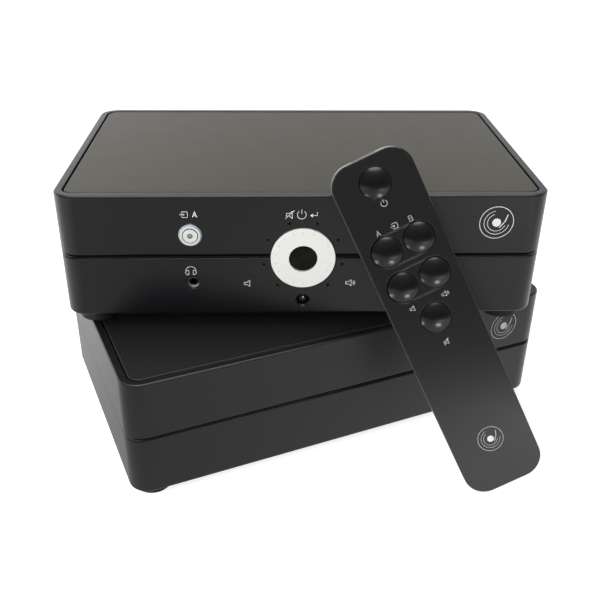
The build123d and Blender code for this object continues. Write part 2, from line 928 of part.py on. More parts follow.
def save_control_front():
    """Nodes behind and in the front wall."""
    button_z = case_low + input_button_height
    jack_z = case_low + jack_height
    sides = (-1, 1)
    dial = [at_front(0, dial_z, volume_ring()), at_front(0, dial_z, volume_hub())]
    keep("volume_ring", dial, control_place)
    keep("volume_encoder", [at_front(0, dial_z, volume_encoder())], control_place)
    keep("select_button", [at_front(0, dial_z, select_button())], control_place)
    low = -board_depth_behind_face
    lamps = [at_front(x, z, rod(led_radius, low, -led_recess)) for x, z in led_places()]
    keep("volume_leds", lamps, control_place)
    bezels = [at_front(side * input_button_x, button_z, bezel()) for side in sides]
    bezels += [at_front(side * input_button_x, button_z, bezel_nut()) for side in sides]
    keep("input_button_bezels", bezels, control_place)
    keep("input_a_button", [at_front(-input_button_x, button_z, input_button())], control_place)
    keep("input_b_button", [at_front(input_button_x, button_z, input_button())], control_place)
    switches = [at_front(side * input_button_x, button_z, tact_switch()) for side in sides]
    switches.append(at_front(0, dial_z, tact_switch()))
    keep("front_switches", switches, control_place)
    jacks = [at_front(side * jack_x, jack_z, headphone_jack()) for side in sides]
    keep("headphone_jacks", jacks, control_place)
    ferrules = [at_front(side * jack_x, jack_z, jack_ferrule()) for side in sides]
    keep("jack_ferrules", ferrules, control_place)
    keep("infrared_eye", [at_front(0, case_low + eye_height, infrared_eye())], control_place)
    keep("front_board", [front_board()], control_place)


# ---- Control unit: audio board and back ----------------------------------------------------------

def row(shape, count, spacing, row_offset):
    """A row of parts on both channels of the audio board."""
    shapes = []
    for side in (-1, 1):
        for x, y in grid(spacing, 0, count, 1):
            shapes.append(Pos(side * channel_x + x, audio_board_front + row_offset + y, board_top) * shape)
    return shapes


def save_audio_board(places):
    """Audio board and what is soldered to it."""
    plate = board(audio_board_width, audio_board_depth, 0, audio_board_y, places)
    keep("audio_board", [plate], control_place)
    small_can = can(small_can_radius, small_can_height)
    cans = row(small_can, small_cans_per_side, small_can_spacing, can_row_offset)
    keep("electrolytic_capacitors", cans, control_place)
    film = block(film_cap_length, film_cap_width, film_cap_round, 0, film_cap_height)
    keep("film_capacitors", row(film, film_caps_per_side, film_cap_spacing, film_row_offset), control_place)
    chip = box(chip_length, chip_width, 0, chip_height)
    keep("amplifier_chips", row(chip, chips_per_side, chip_spacing, chip_row_offset), control_place)
    relay = box(relay_length, relay_width, 0, relay_height)
    keep("input_relays", row(relay, relays_per_side, relay_spacing, relay_row_offset), control_place)


def ground_nut():
    """Fluted thumb nut of the ground post."""
    low = ground_base_thickness + ground_nut_gap
    nut = rod(ground_nut_radius, low, low + ground_nut_height)
    for x, y in contact_places(ground_nut_radius, ground_nut_flutes, 0):
        nut -= Pos(x, y, 0) * rod(ground_flute_radius, low - past, low + ground_nut_height + past)
    return nut - rod(ground_stem_radius + ground_nut_fit, low - past, low + ground_nut_height + past)


def save_control_back():
    """Sockets of the control unit. Gives the panel cutters and the extra screws."""
    socket_z = ledge_z - window_border - round_socket_drop
    rca_z = case_low + rca_height
    socket_columns = [inner_socket_x + index * socket_pitch for index in range(sockets_per_side)]
    inlets = [at_back(x, socket_z, round_socket_inlet()) for x in socket_columns]
    outlets = [at_back(-x, socket_z, round_socket_outlet()) for x in socket_columns]
    rca_columns = [rca_input_x + index * rca_pitch for index in range(rca_input_count)]
    rca_columns += [-rca_output_x - index * rca_pitch for index in range(rca_output_count)]
    keep("balanced_inputs", inlets, control_place)
    keep("balanced_outputs", outlets, control_place)
    keep("rca_sockets", [at_back(x, rca_z, rca_socket()) for x in rca_columns], control_place)
    link_z = case_low + link_socket_height
    keep("control_link_inlet", [at_back(link_socket_x, link_z, link_inlet())], control_place)
    ground_z = case_low + post_height
    post = rod(ground_base_radius, 0, ground_base_thickness)
    post += rod(ground_stem_radius, -panel_thickness - ground_stem_back, ground_stem_length)
    keep("ground_post", [at_back(ground_post_x, ground_z, post)], control_place)
    keep("ground_nut", [at_back(ground_post_x, ground_z, ground_nut())], control_place)
    cutters = [at_back(link_socket_x, link_z, link_cutter())]
    cutters.append(at_back(ground_post_x, ground_z, rod(ground_stem_radius + thread_gap, -reach, reach)))
    cutters += [at_back(x, rca_z, rod(rca_back_radius + rca_panel_gap, -reach, reach)) for x in rca_columns]
    screws = []
    for column in socket_columns:
        for x in (column, -column):
            cutters.append(at_back(x, socket_z, round_socket_cutter()))
            for screw_x, screw_z in socket_screw_places:
                turned = Pos(screw_x, screw_z, socket_flange_thickness) * Rot(180, 0, 0) * screw()
                screws.append(at_back(x, socket_z, turned))
    return cutters, screws


def save_control_unit():
    """All nodes of the control unit."""
    places = board_places(audio_board_width, audio_board_depth, 0, audio_board_y, audio_screw_columns)
    cutters, screws = save_control_back()
    holes = control_front_holes() + board_boss_holes(places)
    screws = screws + board_screws(places)
    save_case("control", control_place, holes, board_bosses(places), cutters, screws)
    save_control_front()
    save_audio_board(places)


# ---- Power supply: inside ------------------------------------------------------------------------

def transformer():
    """Toroidal transformer: a ring with well-rounded edges."""
    width = core_outer_radius - core_inner_radius
    middle = (core_outer_radius + core_inner_radius) / 2
    section = Pos(middle, core_height / 2) * RectangleRounded(width, core_height, core_round)
    return revolve(Plane.XZ * section, Axis.Z)


def clamp_plate():
    """Dished steel plate on top of the transformer."""
    inner = core_inner_radius
    slope_shift = clamp_thickness / 2
    outline = [
        (bolt_radius + bolt_washer_gap, -clamp_dish),
        (inner - clamp_thickness, -clamp_dish),
        (inner, 0),
        (clamp_radius, 0),
        (clamp_radius, clamp_thickness),
        (inner - slope_shift, clamp_thickness),
        (inner - clamp_thickness - slope_shift, clamp_thickness - clamp_dish),
        (bolt_radius + bolt_washer_gap, clamp_thickness - clamp_dish),
    ]
    profile = make_face(Polyline(*outline, close=True))
    return revolve(Plane.XZ * profile, Axis.Z)


def save_transformer():
    """Transformer with its pads, clamp plate and bolt."""
    low = floor_z
    ring_low = low + pad_thickness
    ring_high = ring_low + core_height
    clamp_z = ring_high + pad_thickness
    pad = rod(pad_radius, 0, pad_thickness) - rod(core_inner_radius, -past, pad_thickness + past)
    place = Pos(core_x, 0, 0)
    keep("toroidal_transformer", [place * Pos(0, 0, ring_low) * transformer()], supply_place)
    pads = [place * Pos(0, 0, low) * pad, place * Pos(0, 0, ring_high) * pad]
    keep("transformer_pads", pads, supply_place)
    keep("transformer_clamp", [place * Pos(0, 0, clamp_z) * clamp_plate()], supply_place)
    head_z = clamp_z + clamp_thickness - clamp_dish
    head = extrude(RegularPolygon(bolt_head_radius, 6), bolt_head_height)
    bolt = rod(bolt_radius, low, head_z + overlap) + Pos(0, 0, head_z) * head
    keep("transformer_bolt", [place * bolt], supply_place)


def heat_sink():
    """Extruded heat sink: a base with a comb of fins."""
    profile = Pos(0, -sink_base / 2) * Rectangle(sink_width, sink_base)
    pitch = (sink_width - sink_fin_thickness) / (sink_fin_count - 1)
    for x, offset in grid(pitch, 0, sink_fin_count, 1):
        fin_y = offset + (sink_fin_length - overlap) / 2
        profile += Pos(x, fin_y) * Rectangle(sink_fin_thickness, sink_fin_length + overlap)
    return extrude(profile, sink_height)


def regulator():
    """Power regulator on its leads, with its back to the heat sink."""
    high = regulator_lead_height + regulator_height
    body = box(regulator_width, regulator_thickness, regulator_lead_height, high)
    leads = box(regulator_lead_width, regulator_lead_thickness, 0, regulator_lead_height + overlap)
    return body + leads


def save_supply_board(places):
    """Rectifier board with its capacitors, regulators and heat sink."""
    plate = board(supply_board_width, supply_board_depth, supply_board_x, supply_board_y, places)
    keep("rectifier_board", [plate], supply_place)
    cans = []
    for x, y in grid(big_can_spacing, big_can_spacing, big_can_columns, big_can_rows):
        place = Pos(supply_board_x + x, supply_board_y + big_can_offset_y / 2 + y, board_top)
        cans.append(place * can(big_can_radius, big_can_height))
    keep("reservoir_capacitors", cans, supply_place)
    sink_y = supply_board_y + sink_offset_y + sink_base
    keep("heat_sink", [Pos(supply_board_x, sink_y, board_top) * heat_sink()], supply_place)
    regulator_y = sink_y - sink_base - regulator_thickness / 2
    shapes = []
    for x, offset in grid(regulator_spacing, 0, regulator_count, 1):
        shapes.append(Pos(supply_board_x + x, regulator_y + offset, board_top) * regulator())
    keep("regulators", shapes, supply_place)


# ---- Power supply: mains inlet -------------------------------------------------------------------

def inlet_well(depth):
    """Recess of the mains inlet, with its two cut corners at the top."""
    half_width = inlet_width / 2
    half_height = inlet_height / 2
    outline = [
        (-half_width, -half_height),
        (half_width, -half_height),
        (half_width, half_height - inlet_corner),
        (half_width - inlet_corner, half_height),
        (inlet_corner - half_width, half_height),
        (-half_width, half_height - inlet_corner),
    ]
    return extrude(make_face(Polyline(*outline, close=True)), depth)


def mains_module():
    """Flanged module that holds the inlet, the fuse drawer and the rocker."""
    top = mains_flange_thickness
    shape = block(mains_flange_width, mains_flange_height, mains_flange_round, 0, top)
    body_width = mains_flange_width - 2 * mains_body_margin
    body_height = mains_flange_height - 2 * mains_body_margin
    shape += box(body_width, body_height, -mains_body_depth, overlap)
    floor = top - inlet_depth
    shape -= Pos(inlet_offset_x, 0, floor) * inlet_well(inlet_depth + past)
    for x, rise in ((-blade_spacing / 2, 0), (0, earth_blade_rise), (blade_spacing / 2, 0)):
        blade = box(blade_width, blade_height, floor - overlap, floor + blade_length)
        shape += Pos(inlet_offset_x + x, rise - earth_blade_rise / 2, 0) * blade
    slot_width = fuse_width + 2 * fuse_slot_gap
    slot_height = fuse_height + 2 * fuse_slot_gap
    slot = box(slot_width, slot_height, top - fuse_depth - fuse_slot_extra, top + past)
    shape -= Pos(fuse_offset_x, 0, 0) * slot
    well_width = rocker_width + 2 * rocker_gap
    well_height = rocker_height + 2 * rocker_end_gap
    well = box(well_width, well_height, top - rocker_well_depth, top + past)
    shape -= Pos(rocker_offset_x, 0, 0) * well
    pin_hole_length = rocker_width + 2 * (rocker_gap + rocker_pin_length)
    pin_hole = Rot(0, 90, 0) * Cylinder(rocker_pin_radius + rocker_pin_fit, pin_hole_length)
    return shape - Pos(rocker_offset_x, 0, top - rocker_pivot_depth) * pin_hole


def fuse_drawer():
    """Drawer for the mains fuse: a face plate on an open tray."""
    top = mains_flange_thickness
    gap = fuse_slot_gap
    face = box(fuse_width + 2 * fuse_face_margin, fuse_height + 2 * fuse_face_margin, 0, fuse_face_thickness)
    tray = box(fuse_width, fuse_height, top - fuse_depth, top + gap + overlap)
    inner_height = fuse_height - 2 * fuse_tray_wall
    hollow = box(fuse_width, inner_height, top - fuse_depth + fuse_tray_wall, top - fuse_tray_wall)
    tray -= Pos(fuse_tray_wall, 0, 0) * hollow
    return Pos(0, 0, top + gap) * face + tray


def rocker():
    """Rocker with a hollow face, on a pivot pin, switched to its first side."""
    half = rocker_height / 2
    half_back = rocker_back_height / 2
    outline = [
        (-half, rocker_end_rise),
        (0, rocker_middle_rise),
        (half, rocker_end_rise),
        (half, 0),
        (half_back, -rocker_back),
        (-half_back, -rocker_back),
        (-half, 0),
    ]
    profile = make_face(Polyline(*outline, close=True))
    body = extrude(Plane.YZ * profile, rocker_width / 2, both=True)
    pin_length = rocker_width + 2 * (rocker_gap + rocker_pin_length) - 2 * rocker_pin_fit
    body += Rot(0, 90, 0) * Cylinder(rocker_pin_radius, pin_length)
    return Rot(rocker_angle, 0, 0) * body


def save_supply():
    """All nodes of the power supply."""
    size = (supply_board_width, supply_board_depth)
    places = board_places(*size, supply_board_x, supply_board_y, supply_screw_columns)
    mains_z = case_low + mains_height
    body_width = mains_flange_width - 2 * (mains_body_margin - mains_hole_gap)
    body_height = mains_flange_height - 2 * (mains_body_margin - mains_hole_gap)
    link_z = case_low + link_socket_height
    cutters = [at_back(mains_x, mains_z, box(body_width, body_height, -reach, reach))]
    cutters.append(at_back(-link_socket_x, link_z, link_cutter()))
    bosses = board_bosses(places) + [(core_x, 0, core_boss_radius, pad_thickness)]
    holes = board_boss_holes(places)
    holes.append(Pos(core_x, 0, 0) * rod(bolt_radius + thread_gap, floor_z, floor_z + pad_thickness + past))
    save_case("supply", supply_place, holes, bosses, cutters, board_screws(places))
    save_transformer()
    save_supply_board(places)
    keep("mains_inlet", [at_back(mains_x, mains_z, mains_module())], supply_place)
    drawer = Pos(fuse_offset_x, 0, 0) * fuse_drawer()
    keep("fuse_drawer", [at_back(mains_x, mains_z, drawer)], supply_place)
    pivot = Pos(rocker_offset_x, 0, mains_flange_thickness - rocker_pivot_depth)
    keep("power_rocker", [at_back(mains_x, mains_z, pivot * rocker())], supply_place)
    keep("supply_link_outlet", [at_back(-link_socket_x, link_z, link_outlet())], supply_place)


# ---- Remote control ------------------------------------------------------------------------------
# In its own frame the front face is the XY plane, +Y towards the top end.

remote_top = remote_length / 2
remote_power_row = remote_top - remote_power_from_top
remote_pair_row = remote_top - remote_pair_from_top
remote_mute_row = remote_top - remote_mute_from_top
cell_row = cell_from_foot - remote_top
remote_board_low = cell_row + cell_radius + cell_gap + cell_wall + remote_board_cell_gap
remote_body_top = -remote_plate_thickness - remote_seam
remote_floor = -remote_thickness + remote_back_thickness
eye_window_low = remote_floor + eye_window_rise
remote_board_top = remote_floor + remote_board_thickness
remote_switch_top = remote_board_top + remote_switch_height
pair_x = remote_pair_spacing / 2
second_pair_row = remote_pair_row - remote_pair_pitch

remote_buttons = {
    "remote_power_button": (0, remote_power_row),
    "remote_input_a_button": (-pair_x, remote_pair_row),
    "remote_input_b_button": (pair_x, remote_pair_row),
    "remote_quieter_button": (-pair_x, second_pair_row),
    "remote_louder_button": (pair_x, second_pair_row),
    "remote_mute_button": (0, remote_mute_row),
}


def remote_place(shape):
    """Lean the remote on the upper front edge of the control unit."""
    lean = math.radians(remote_lean)
    tilt = math.radians(remote_tilt)
    edge_y = control_back + front_y
    edge_z = 2 * rim_z - rim_chamfer
    half_width = remote_width / 2 - remote_corner
    half_length = remote_length / 2 - remote_corner
    lowest = half_width * math.sin(tilt) + half_length * math.cos(tilt) + remote_corner
    slope_y = math.cos(lean)
    slope_z = math.sin(lean)
    edge_to_table = (edge_z + rest_gap * slope_y - table_gap) / slope_z
    along = lowest - edge_to_table
    out = remote_thickness + rest_gap
    y = edge_y - out * slope_z + along * slope_y
    z = edge_z + out * slope_y + along * slope_z
    return Pos(remote_x, y, z) * Rot(remote_lean, 0, 0) * Rot(0, 0, remote_tilt) * shape


def remote_slab(inset, low, high):
    """Slab that follows the outline of the remote."""
    return block(remote_width - 2 * inset, remote_length - 2 * inset, remote_corner - inset, low, high)


def pair_line(row_y):
    """Fine line engraved around a pair of buttons."""
    radius = remote_button_radius + remote_button_gap
    outer = SlotCenterToCenter(remote_pair_spacing, 2 * (radius + pair_line_width))
    inner = SlotCenterToCenter(remote_pair_spacing, 2 * radius)
    return Pos(0, row_y, -pair_line_depth) * extrude(outer - inner, pair_line_depth + past)


def remote_front_plate():
    """Front plate with a raised seat under it that makes the shadow line."""
    plate = remote_slab(0, -remote_plate_thickness, 0)
    plate = chamfer(top_edges(plate, 0), remote_plate_chamfer)
    plate += remote_slab(remote_seam_depth, remote_body_top, -remote_plate_thickness + thin_overlap)
    for x, y in remote_buttons.values():
        plate -= Pos(x, y, 0) * rod(remote_button_radius + remote_button_gap, remote_body_top - past, past)
    return plate - pair_line(remote_pair_row) - pair_line(second_pair_row)


def remote_body():
    """Tray with the cell well, its cover hole and the window for the beam."""
    body = remote_slab(0, -remote_thickness, remote_body_top)
    body = fillet(top_edges(body, -remote_thickness), remote_back_round)
    body -= remote_slab(remote_wall, remote_floor, past)
    well_radius = cell_radius + cell_gap
    well = rod(well_radius + cell_wall, remote_floor - overlap, remote_floor + cell_thickness)
    body += Pos(0, cell_row, 0) * well
    body -= Pos(0, cell_row, 0) * rod(well_radius, -remote_thickness - past, 0)
    cover_hole = rod(cover_radius + cover_gap, -remote_thickness - past, remote_floor - cell_gap)
    body -= Pos(0, cell_row, 0) * cover_hole
    window = box(eye_window_width, 2 * remote_wall + past, eye_window_low, eye_window_low + eye_window_height)
    return body - Pos(0, remote_top, 0) * window


def remote_button():
    """Domed key with a retaining flange and a stem."""
    flange_top = remote_body_top - remote_flange_gap
    flange_low = flange_top - remote_flange_thickness
    stem_low = remote_switch_top + remote_travel + press_clearance
    body = rod(remote_button_radius, flange_low, remote_button_edge)
    body += rod(remote_flange_radius, flange_low, flange_top)
    body += rod(remote_stem_radius, stem_low, flange_low + thin_overlap)
    sphere_radius = (remote_button_radius ** 2 + remote_button_dome ** 2) / (2 * remote_button_dome)
    high = remote_button_edge + remote_button_dome
    dome = Pos(0, 0, high - sphere_radius) * Sphere(sphere_radius)
    dome &= rod(remote_button_radius, remote_button_edge - thin_overlap, high)
    return body + dome


def cell_cover():
    """Round cover of the cell, with a slot for a coin."""
    cover = rod(cover_radius, -remote_thickness, remote_floor - 2 * cell_gap)
    low = -remote_thickness
    slot = box(cover_slot_length, cover_slot_width, low - past, low + cover_slot_depth)
    return Pos(0, cell_row, 0) * (cover - slot)


def save_remote():
    """All nodes of the remote control."""
    keep("remote_front_plate", [remote_front_plate()], remote_place)
    keep("remote_body", [remote_body()], remote_place)
    high = remote_top - remote_wall - remote_board_gap
    board_length = high - remote_board_low
    board_width = remote_width - 2 * (remote_wall + remote_board_gap)
    slab = block(board_width, board_length, remote_corner - remote_wall - remote_board_gap,
                 remote_floor, remote_board_top)
    keep("remote_board", [Pos(0, remote_board_low + board_length / 2, 0) * slab], remote_place)
    switch = rod(remote_switch_radius, remote_board_top, remote_switch_top)
    keep("remote_switches", [Pos(x, y, 0) * switch for x, y in remote_buttons.values()], remote_place)
    for name, (x, y) in remote_buttons.items():
        keep(name, [Pos(x, y, 0) * remote_button()], remote_place)
    cell = rod(cell_radius, remote_floor - cell_gap, remote_floor - cell_gap + cell_thickness)
    keep("remote_cell", [Pos(0, cell_row, 0) * cell], remote_place)
    keep("remote_cell_cover", [cell_cover()], remote_place)
    gap = eye_window_gap
    window = box(eye_window_width - 2 * gap, remote_wall, eye_window_low + gap,
                 eye_window_low + eye_window_height - gap)
    middle_y = remote_top - remote_wall / 2
    keep("remote_infrared_window", [Pos(0, middle_y, 0) * window], remote_place)


# ---- Build ---------------------------------------------------------------------------------------

save_supply()
save_control_unit()
save_remote()

os.makedirs("parts", exist_ok=True)
for name, solids in parts.items():
    shape = solids[0] if len(solids) == 1 else Compound(solids)
    export_step(shape, os.path.join("parts", name + ".step"))
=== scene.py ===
import json
import math

import bpy
from mathutils import Matrix, Vector

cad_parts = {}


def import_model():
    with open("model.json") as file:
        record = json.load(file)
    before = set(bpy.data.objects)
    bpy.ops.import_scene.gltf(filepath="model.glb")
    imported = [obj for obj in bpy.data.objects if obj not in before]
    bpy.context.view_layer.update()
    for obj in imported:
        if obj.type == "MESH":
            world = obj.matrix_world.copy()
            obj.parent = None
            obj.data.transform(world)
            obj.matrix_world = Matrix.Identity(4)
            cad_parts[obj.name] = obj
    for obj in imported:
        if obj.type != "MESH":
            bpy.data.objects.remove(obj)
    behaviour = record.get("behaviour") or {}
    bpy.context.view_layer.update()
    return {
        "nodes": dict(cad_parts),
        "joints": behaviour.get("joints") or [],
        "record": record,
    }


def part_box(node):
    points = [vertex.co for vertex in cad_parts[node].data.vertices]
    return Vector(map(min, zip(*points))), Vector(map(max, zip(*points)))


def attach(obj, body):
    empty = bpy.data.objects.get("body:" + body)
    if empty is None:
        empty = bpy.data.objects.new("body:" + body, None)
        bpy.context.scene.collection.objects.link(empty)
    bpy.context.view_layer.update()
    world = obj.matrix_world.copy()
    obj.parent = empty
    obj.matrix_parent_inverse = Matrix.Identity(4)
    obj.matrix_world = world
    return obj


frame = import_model()
nodes = frame["nodes"]
joints = {joint["name"]: joint for joint in frame["joints"]}
node_slots = {entry["node"]: entry["material_slot"] for entry in frame["record"]["subparts"]}

MM = 0.001
UP = Vector((0, 0, 1))


# ---- Places read from the frame --------------------------------------------------

def extent(node, direction):
    """Lowest and highest reach of a node along a direction, in metres."""
    reach = [vertex.co.dot(direction) for vertex in nodes[node].data.vertices]
    return min(reach), max(reach)


def face_place(node, right, up):
    """Place on a node's outer face: its middle from side to side, its lowest edge, +Z outwards."""
    outward = right.cross(up)
    left, far = extent(node, right)
    low, _ = extent(node, up)
    _, face = extent(node, outward)
    place = Matrix((right, up, outward)).transposed().to_4x4()
    place.translation = right * (left + far) / 2 + up * low + outward * face
    return place


def centre(node):
    """Middle of a node's box, in metres."""
    low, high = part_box(node)
    return (low + high) / 2


def on_face(face, node):
    """A node's middle on a face, in mm."""
    place = face.inverted() @ centre(node)
    return place.x / MM, place.y / MM


control_face = face_place("control_lower_shell", Vector((1, 0, 0)), UP)

supply_back = Vector(joints["fuse_drawer_slide"]["axis"]).normalized()
supply_face = face_place("supply_lower_shell", supply_back.cross(UP), UP)

remote_front = -Vector(joints["remote_power_press"]["axis"]).normalized()
remote_up = (centre("remote_power_button") - centre("remote_mute_button")).normalized()
remote_face = face_place("remote_front_plate", remote_up.cross(remote_front), remote_up)


def front_place(node, depth):
    """Place on a node's axis, a depth in mm behind its foremost face, +Z outwards."""
    place = control_face.copy()
    middle = centre(node)
    place.translation = Vector((middle.x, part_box(node)[0].y + depth * MM, middle.z))
    return place


# ---- Flat drawings -----------------------------------------------------------------
# Lists of outlines in mm. A stroke is (points, closed, width), a fill (points, None, None).

SEGMENTS = 40                             # of a full circle
WAVES = (1.4, 2.1)                        # mm, radii of the waves at the loud speaker
GROOVES = ((0.74, 100, 350, 28), (0.54, 110, 340, 24))  # of the mark's radius, degrees, steps
GROOVE_LINE = 0.8                         # of the mark's line
LABEL = 0.26                              # of the mark's radius
TONE_ARM = ((0.62, 0.5), (0.5, 0.08), (0.2, -0.32))
TONE_ARM_LINE = 1.5                       # of the mark's line


def shifted(drawing, x, y, scale=1.0, mirror=False):
    """Drawing moved to a place."""
    side = -scale if mirror else scale
    moved = []
    for points, closed, width in drawing:
        moved.append(([(x + px * side, y + py * scale) for px, py in points], closed, width))
    return moved


def arc(x, y, radius, start, end, count):
    """Points along an arc, in degrees counter-clockwise from +X."""
    points = []
    for index in range(count + 1):
        angle = math.radians(start + (end - start) * index / count)
        points.append((x + radius * math.cos(angle), y + radius * math.sin(angle)))
    return points


def ring(x, y, radius):
    """Points around a full circle."""
    return arc(x, y, radius, 0, 360, SEGMENTS)[:-1]


def power_sign(width):
    return [
        (arc(0, 0, 2.0, 125, 415, 20), False, width),
        ([(0, 0.4), (0, 2.6)], False, width),
    ]


def input_sign(width):
    """Arrow into a box."""
    box = [(-1.3, 0.8), (-1.3, 1.0)] + arc(-0.7, 1.2, 0.6, 180, 90, 4)
    box += arc(1.5, 1.2, 0.6, 90, 0, 4) + arc(1.5, -1.2, 0.6, 0, -90, 4)
    box += arc(-0.7, -1.2, 0.6, -90, -180, 4) + [(-1.3, -1.0), (-1.3, -0.8)]
    return [
        (box, False, width),
        ([(-2.6, 0), (-0.2, 0)], False, width),
        ([(-0.5, 0.65), (0.45, 0), (-0.5, -0.65)], None, None),
    ]


def speaker_sign(width):
    outline = [(-1.6, 0.7), (-0.2, 0.7), (1.2, 1.7), (1.2, -1.7), (-0.2, -0.7), (-1.6, -0.7)]
    return [(outline, True, width)]


def loud_sign(width):
    waves = [(arc(0.9, 0, radius, -38, 38, 6), False, width) for radius in WAVES]
    return speaker_sign(width) + waves


def mute_sign(width):
    return speaker_sign(width) + [([(-1.9, -1.9), (2.1, 2.1)], False, width)]


def enter_sign(width):
    return [
        ([(2.0, 1.7), (2.0, -0.5), (-0.8, -0.5)], False, width),
        ([(-0.6, 0.6), (-2.2, -0.5), (-0.6, -1.6)], None, None),
    ]


def headphone_sign(width):
    cups = []
    for side in (-1, 1):
        cup = [(side * 1.15, 0.3), (side * 1.15, -2.3), (side * 1.8, -2.3)]
        cup += [(side * 2.7, -1.5), (side * 2.7, -0.4), (side * 1.9, 0.3)]
        cups.append((cup, True, width))
    return cups + [(arc(0, -0.3, 2.7, 8, 172, 16), False, width)]


def letter_a(width):
    return [
        ([(-1.3, -1.7), (0, 1.7), (1.3, -1.7)], False, width),
        ([(-0.85, -0.6), (0.85, -0.6)], False, width),
    ]


def letter_b(width):
    top = [(-1.1, 1.7)] + arc(0.2, 0.87, 0.83, 90, -90, 6) + [(-1.1, 0.04)]
    low = [(-1.1, 0.04)] + arc(0.3, -0.83, 0.87, 90, -90, 6) + [(-1.1, -1.7)]
    stem = [(-1.1, -1.9), (-1.1, 1.9)]
    return [(top, False, width), (low, False, width), (stem, False, width)]


def record_sign(radius, width):
    """Round mark: a record with its grooves and a tone arm."""
    reach = radius - width / 2
    grooves = []
    for part, start, end, count in GROOVES:
        grooves.append((arc(0, 0, reach * part, start, end, count), False, width * GROOVE_LINE))
    label = (ring(0, 0, reach * LABEL), None, None)
    arm = ([(reach * x, reach * y) for x, y in TONE_ARM], False, width * TONE_ARM_LINE)
    return [(ring(0, 0, reach), True, width), *grooves, label, arm]


# ---- Meshes --------------------------------------------------------------------------

INK_THICKNESS = 0.02                      # mm, above the surface
INK_DEPTH = 0.02                          # mm, into the surface
MITRE_LIMIT = 0.4                         # least cosine that a stroke's corner is mitred with


def offset_sides(points, closed, width):
    """The two mitred edges of a stroke."""
    count = len(points)
    left, right = [], []
    for index, (x, y) in enumerate(points):
        before = points[index - 1] if closed or index else None
        after = points[(index + 1) % count] if closed or index < count - 1 else None
        normals = []
        for start, end in ((before, (x, y)), ((x, y), after)):
            if start is not None and end is not None:
                along = Vector((end[0] - start[0], end[1] - start[1])).normalized()
                normals.append(Vector((-along.y, along.x)))
        mitre = sum(normals, Vector((0, 0))).normalized()
        half = width / 2 / max(mitre.dot(normals[0]), MITRE_LIMIT)
        left.append((x + mitre.x * half, y + mitre.y * half))
        right.append((x - mitre.x * half, y - mitre.y * half))
    return left, right


def add_stroke(vertices, faces, points, closed, width):
    """Thin solid band along a line."""
    left, right = offset_sides(points, closed, width)
    count = len(points)
    base = len(vertices)
    for z in (-INK_DEPTH, INK_THICKNESS):
        vertices.extend([(x, y, z) for x, y in left + right])
    low_left, low_right, high_left, high_right = (base + count * part for part in range(4))
    for index in range(count if closed else count - 1):
        after = (index + 1) % count
        faces.append((high_left + index, high_right + index, high_right + after, high_left + after))
        faces.append((low_left + after, low_right + after, low_right + index, low_left + index))
        faces.append((low_left + index, high_left + index, high_left + after, low_left + after))
        faces.append((low_right + after, high_right + after, high_right + index, low_right + index))
    if not closed:
        last = count - 1
        faces.append((low_left, low_right, high_right, high_left))
        faces.append((high_left + last, high_right + last, low_right + last, low_left + last))


def add_fill(vertices, faces, points):
    """Thin solid plate with one outline."""
    pairs = zip(points, points[1:] + points[:1])
    if sum(a[0] * b[1] - b[0] * a[1] for a, b in pairs) < 0:
        points = points[::-1]
    count = len(points)
    base = len(vertices)
    for z in (-INK_DEPTH, INK_THICKNESS):
        vertices.extend([(x, y, z) for x, y in points])
    faces.append(tuple(base + count + index for index in range(count)))
    faces.append(tuple(base + index for index in reversed(range(count))))
    for index in range(count):
        after = (index + 1) % count
        faces.append((base + index, base + after, base + count + after, base + count + index))


def add_piece(name, vertices, faces, place, body, slot, material):
    """Piece from vertices in mm at a place, which rides on a body."""
    mesh = bpy.data.meshes.new(name)
    mesh.from_pydata([place @ (Vector(vertex) * MM) for vertex in vertices], [], faces)
    mesh.validate()
    mesh.materials.append(material)
    piece = bpy.data.objects.new(name, mesh)
    bpy.context.scene.collection.objects.link(piece)
    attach(piece, body)


def printed(name, drawing, *where):
    """Drawing as one thin piece."""
    vertices, faces = [], []
    for points, closed, width in drawing:
        if width is None:
            add_fill(vertices, faces, points)
        else:
            add_stroke(vertices, faces, points, closed, width)
    add_piece(name, vertices, faces, *where)


def lathed(name, profile, *where):
    """Solid turned from a profile of radii and heights in mm that starts and ends on the axis."""
    vertices = [(0, 0, profile[0][1])]
    for radius, height in profile[1:-1]:
        vertices.extend([(x, y, height) for x, y in ring(0, 0, radius)])
    vertices.append((0, 0, profile[-1][1]))
    last = len(vertices) - 1
    top = last - SEGMENTS
    faces = []
    for index in range(SEGMENTS):
        after = (index + 1) % SEGMENTS
        faces.append((0, 1 + after, 1 + index))
        for low in range(1, top, SEGMENTS):
            high = low + SEGMENTS
            faces.append((low + index, low + after, high + after, high + index))
        faces.append((top + index, top + after, last))
    add_piece(name, vertices, faces, *where)


# ---- Shader nodes ----------------------------------------------------------------------

BEVEL_SAMPLES = 6
NOISE_SPAN = (0.3, 0.7)                   # where nearly all of a noise lies
FINE_DETAIL = 3.0                         # octaves of the grain
BROAD_DETAIL = 2.0                        # octaves of the broad patches
BROAD_PATCH = 14.0                        # mm
ROUGHNESS_SPREAD = 0.02                   # share by which the roughness varies
PAINT_EDGE = 0.1                          # mm, half the softness of a painted border
FACE_TONE_DEPTH = (0.02, 0.04)            # mm, where the tone of a foremost face ends


def new_material(name):
    """Material with a Principled shader. Gives it with its node tree and shader."""
    material = bpy.data.materials.new(name)
    material.use_nodes = True
    tree = material.node_tree
    return material, tree, tree.nodes["Principled BSDF"]


def coordinates(tree, scale=(1, 1, 1)):
    """Object coordinates, scaled."""
    source = tree.nodes.new("ShaderNodeTexCoord")
    mapping = tree.nodes.new("ShaderNodeMapping")
    mapping.inputs["Scale"].default_value = scale
    tree.links.new(source.outputs["Object"], mapping.inputs["Vector"])
    return mapping.outputs["Vector"]


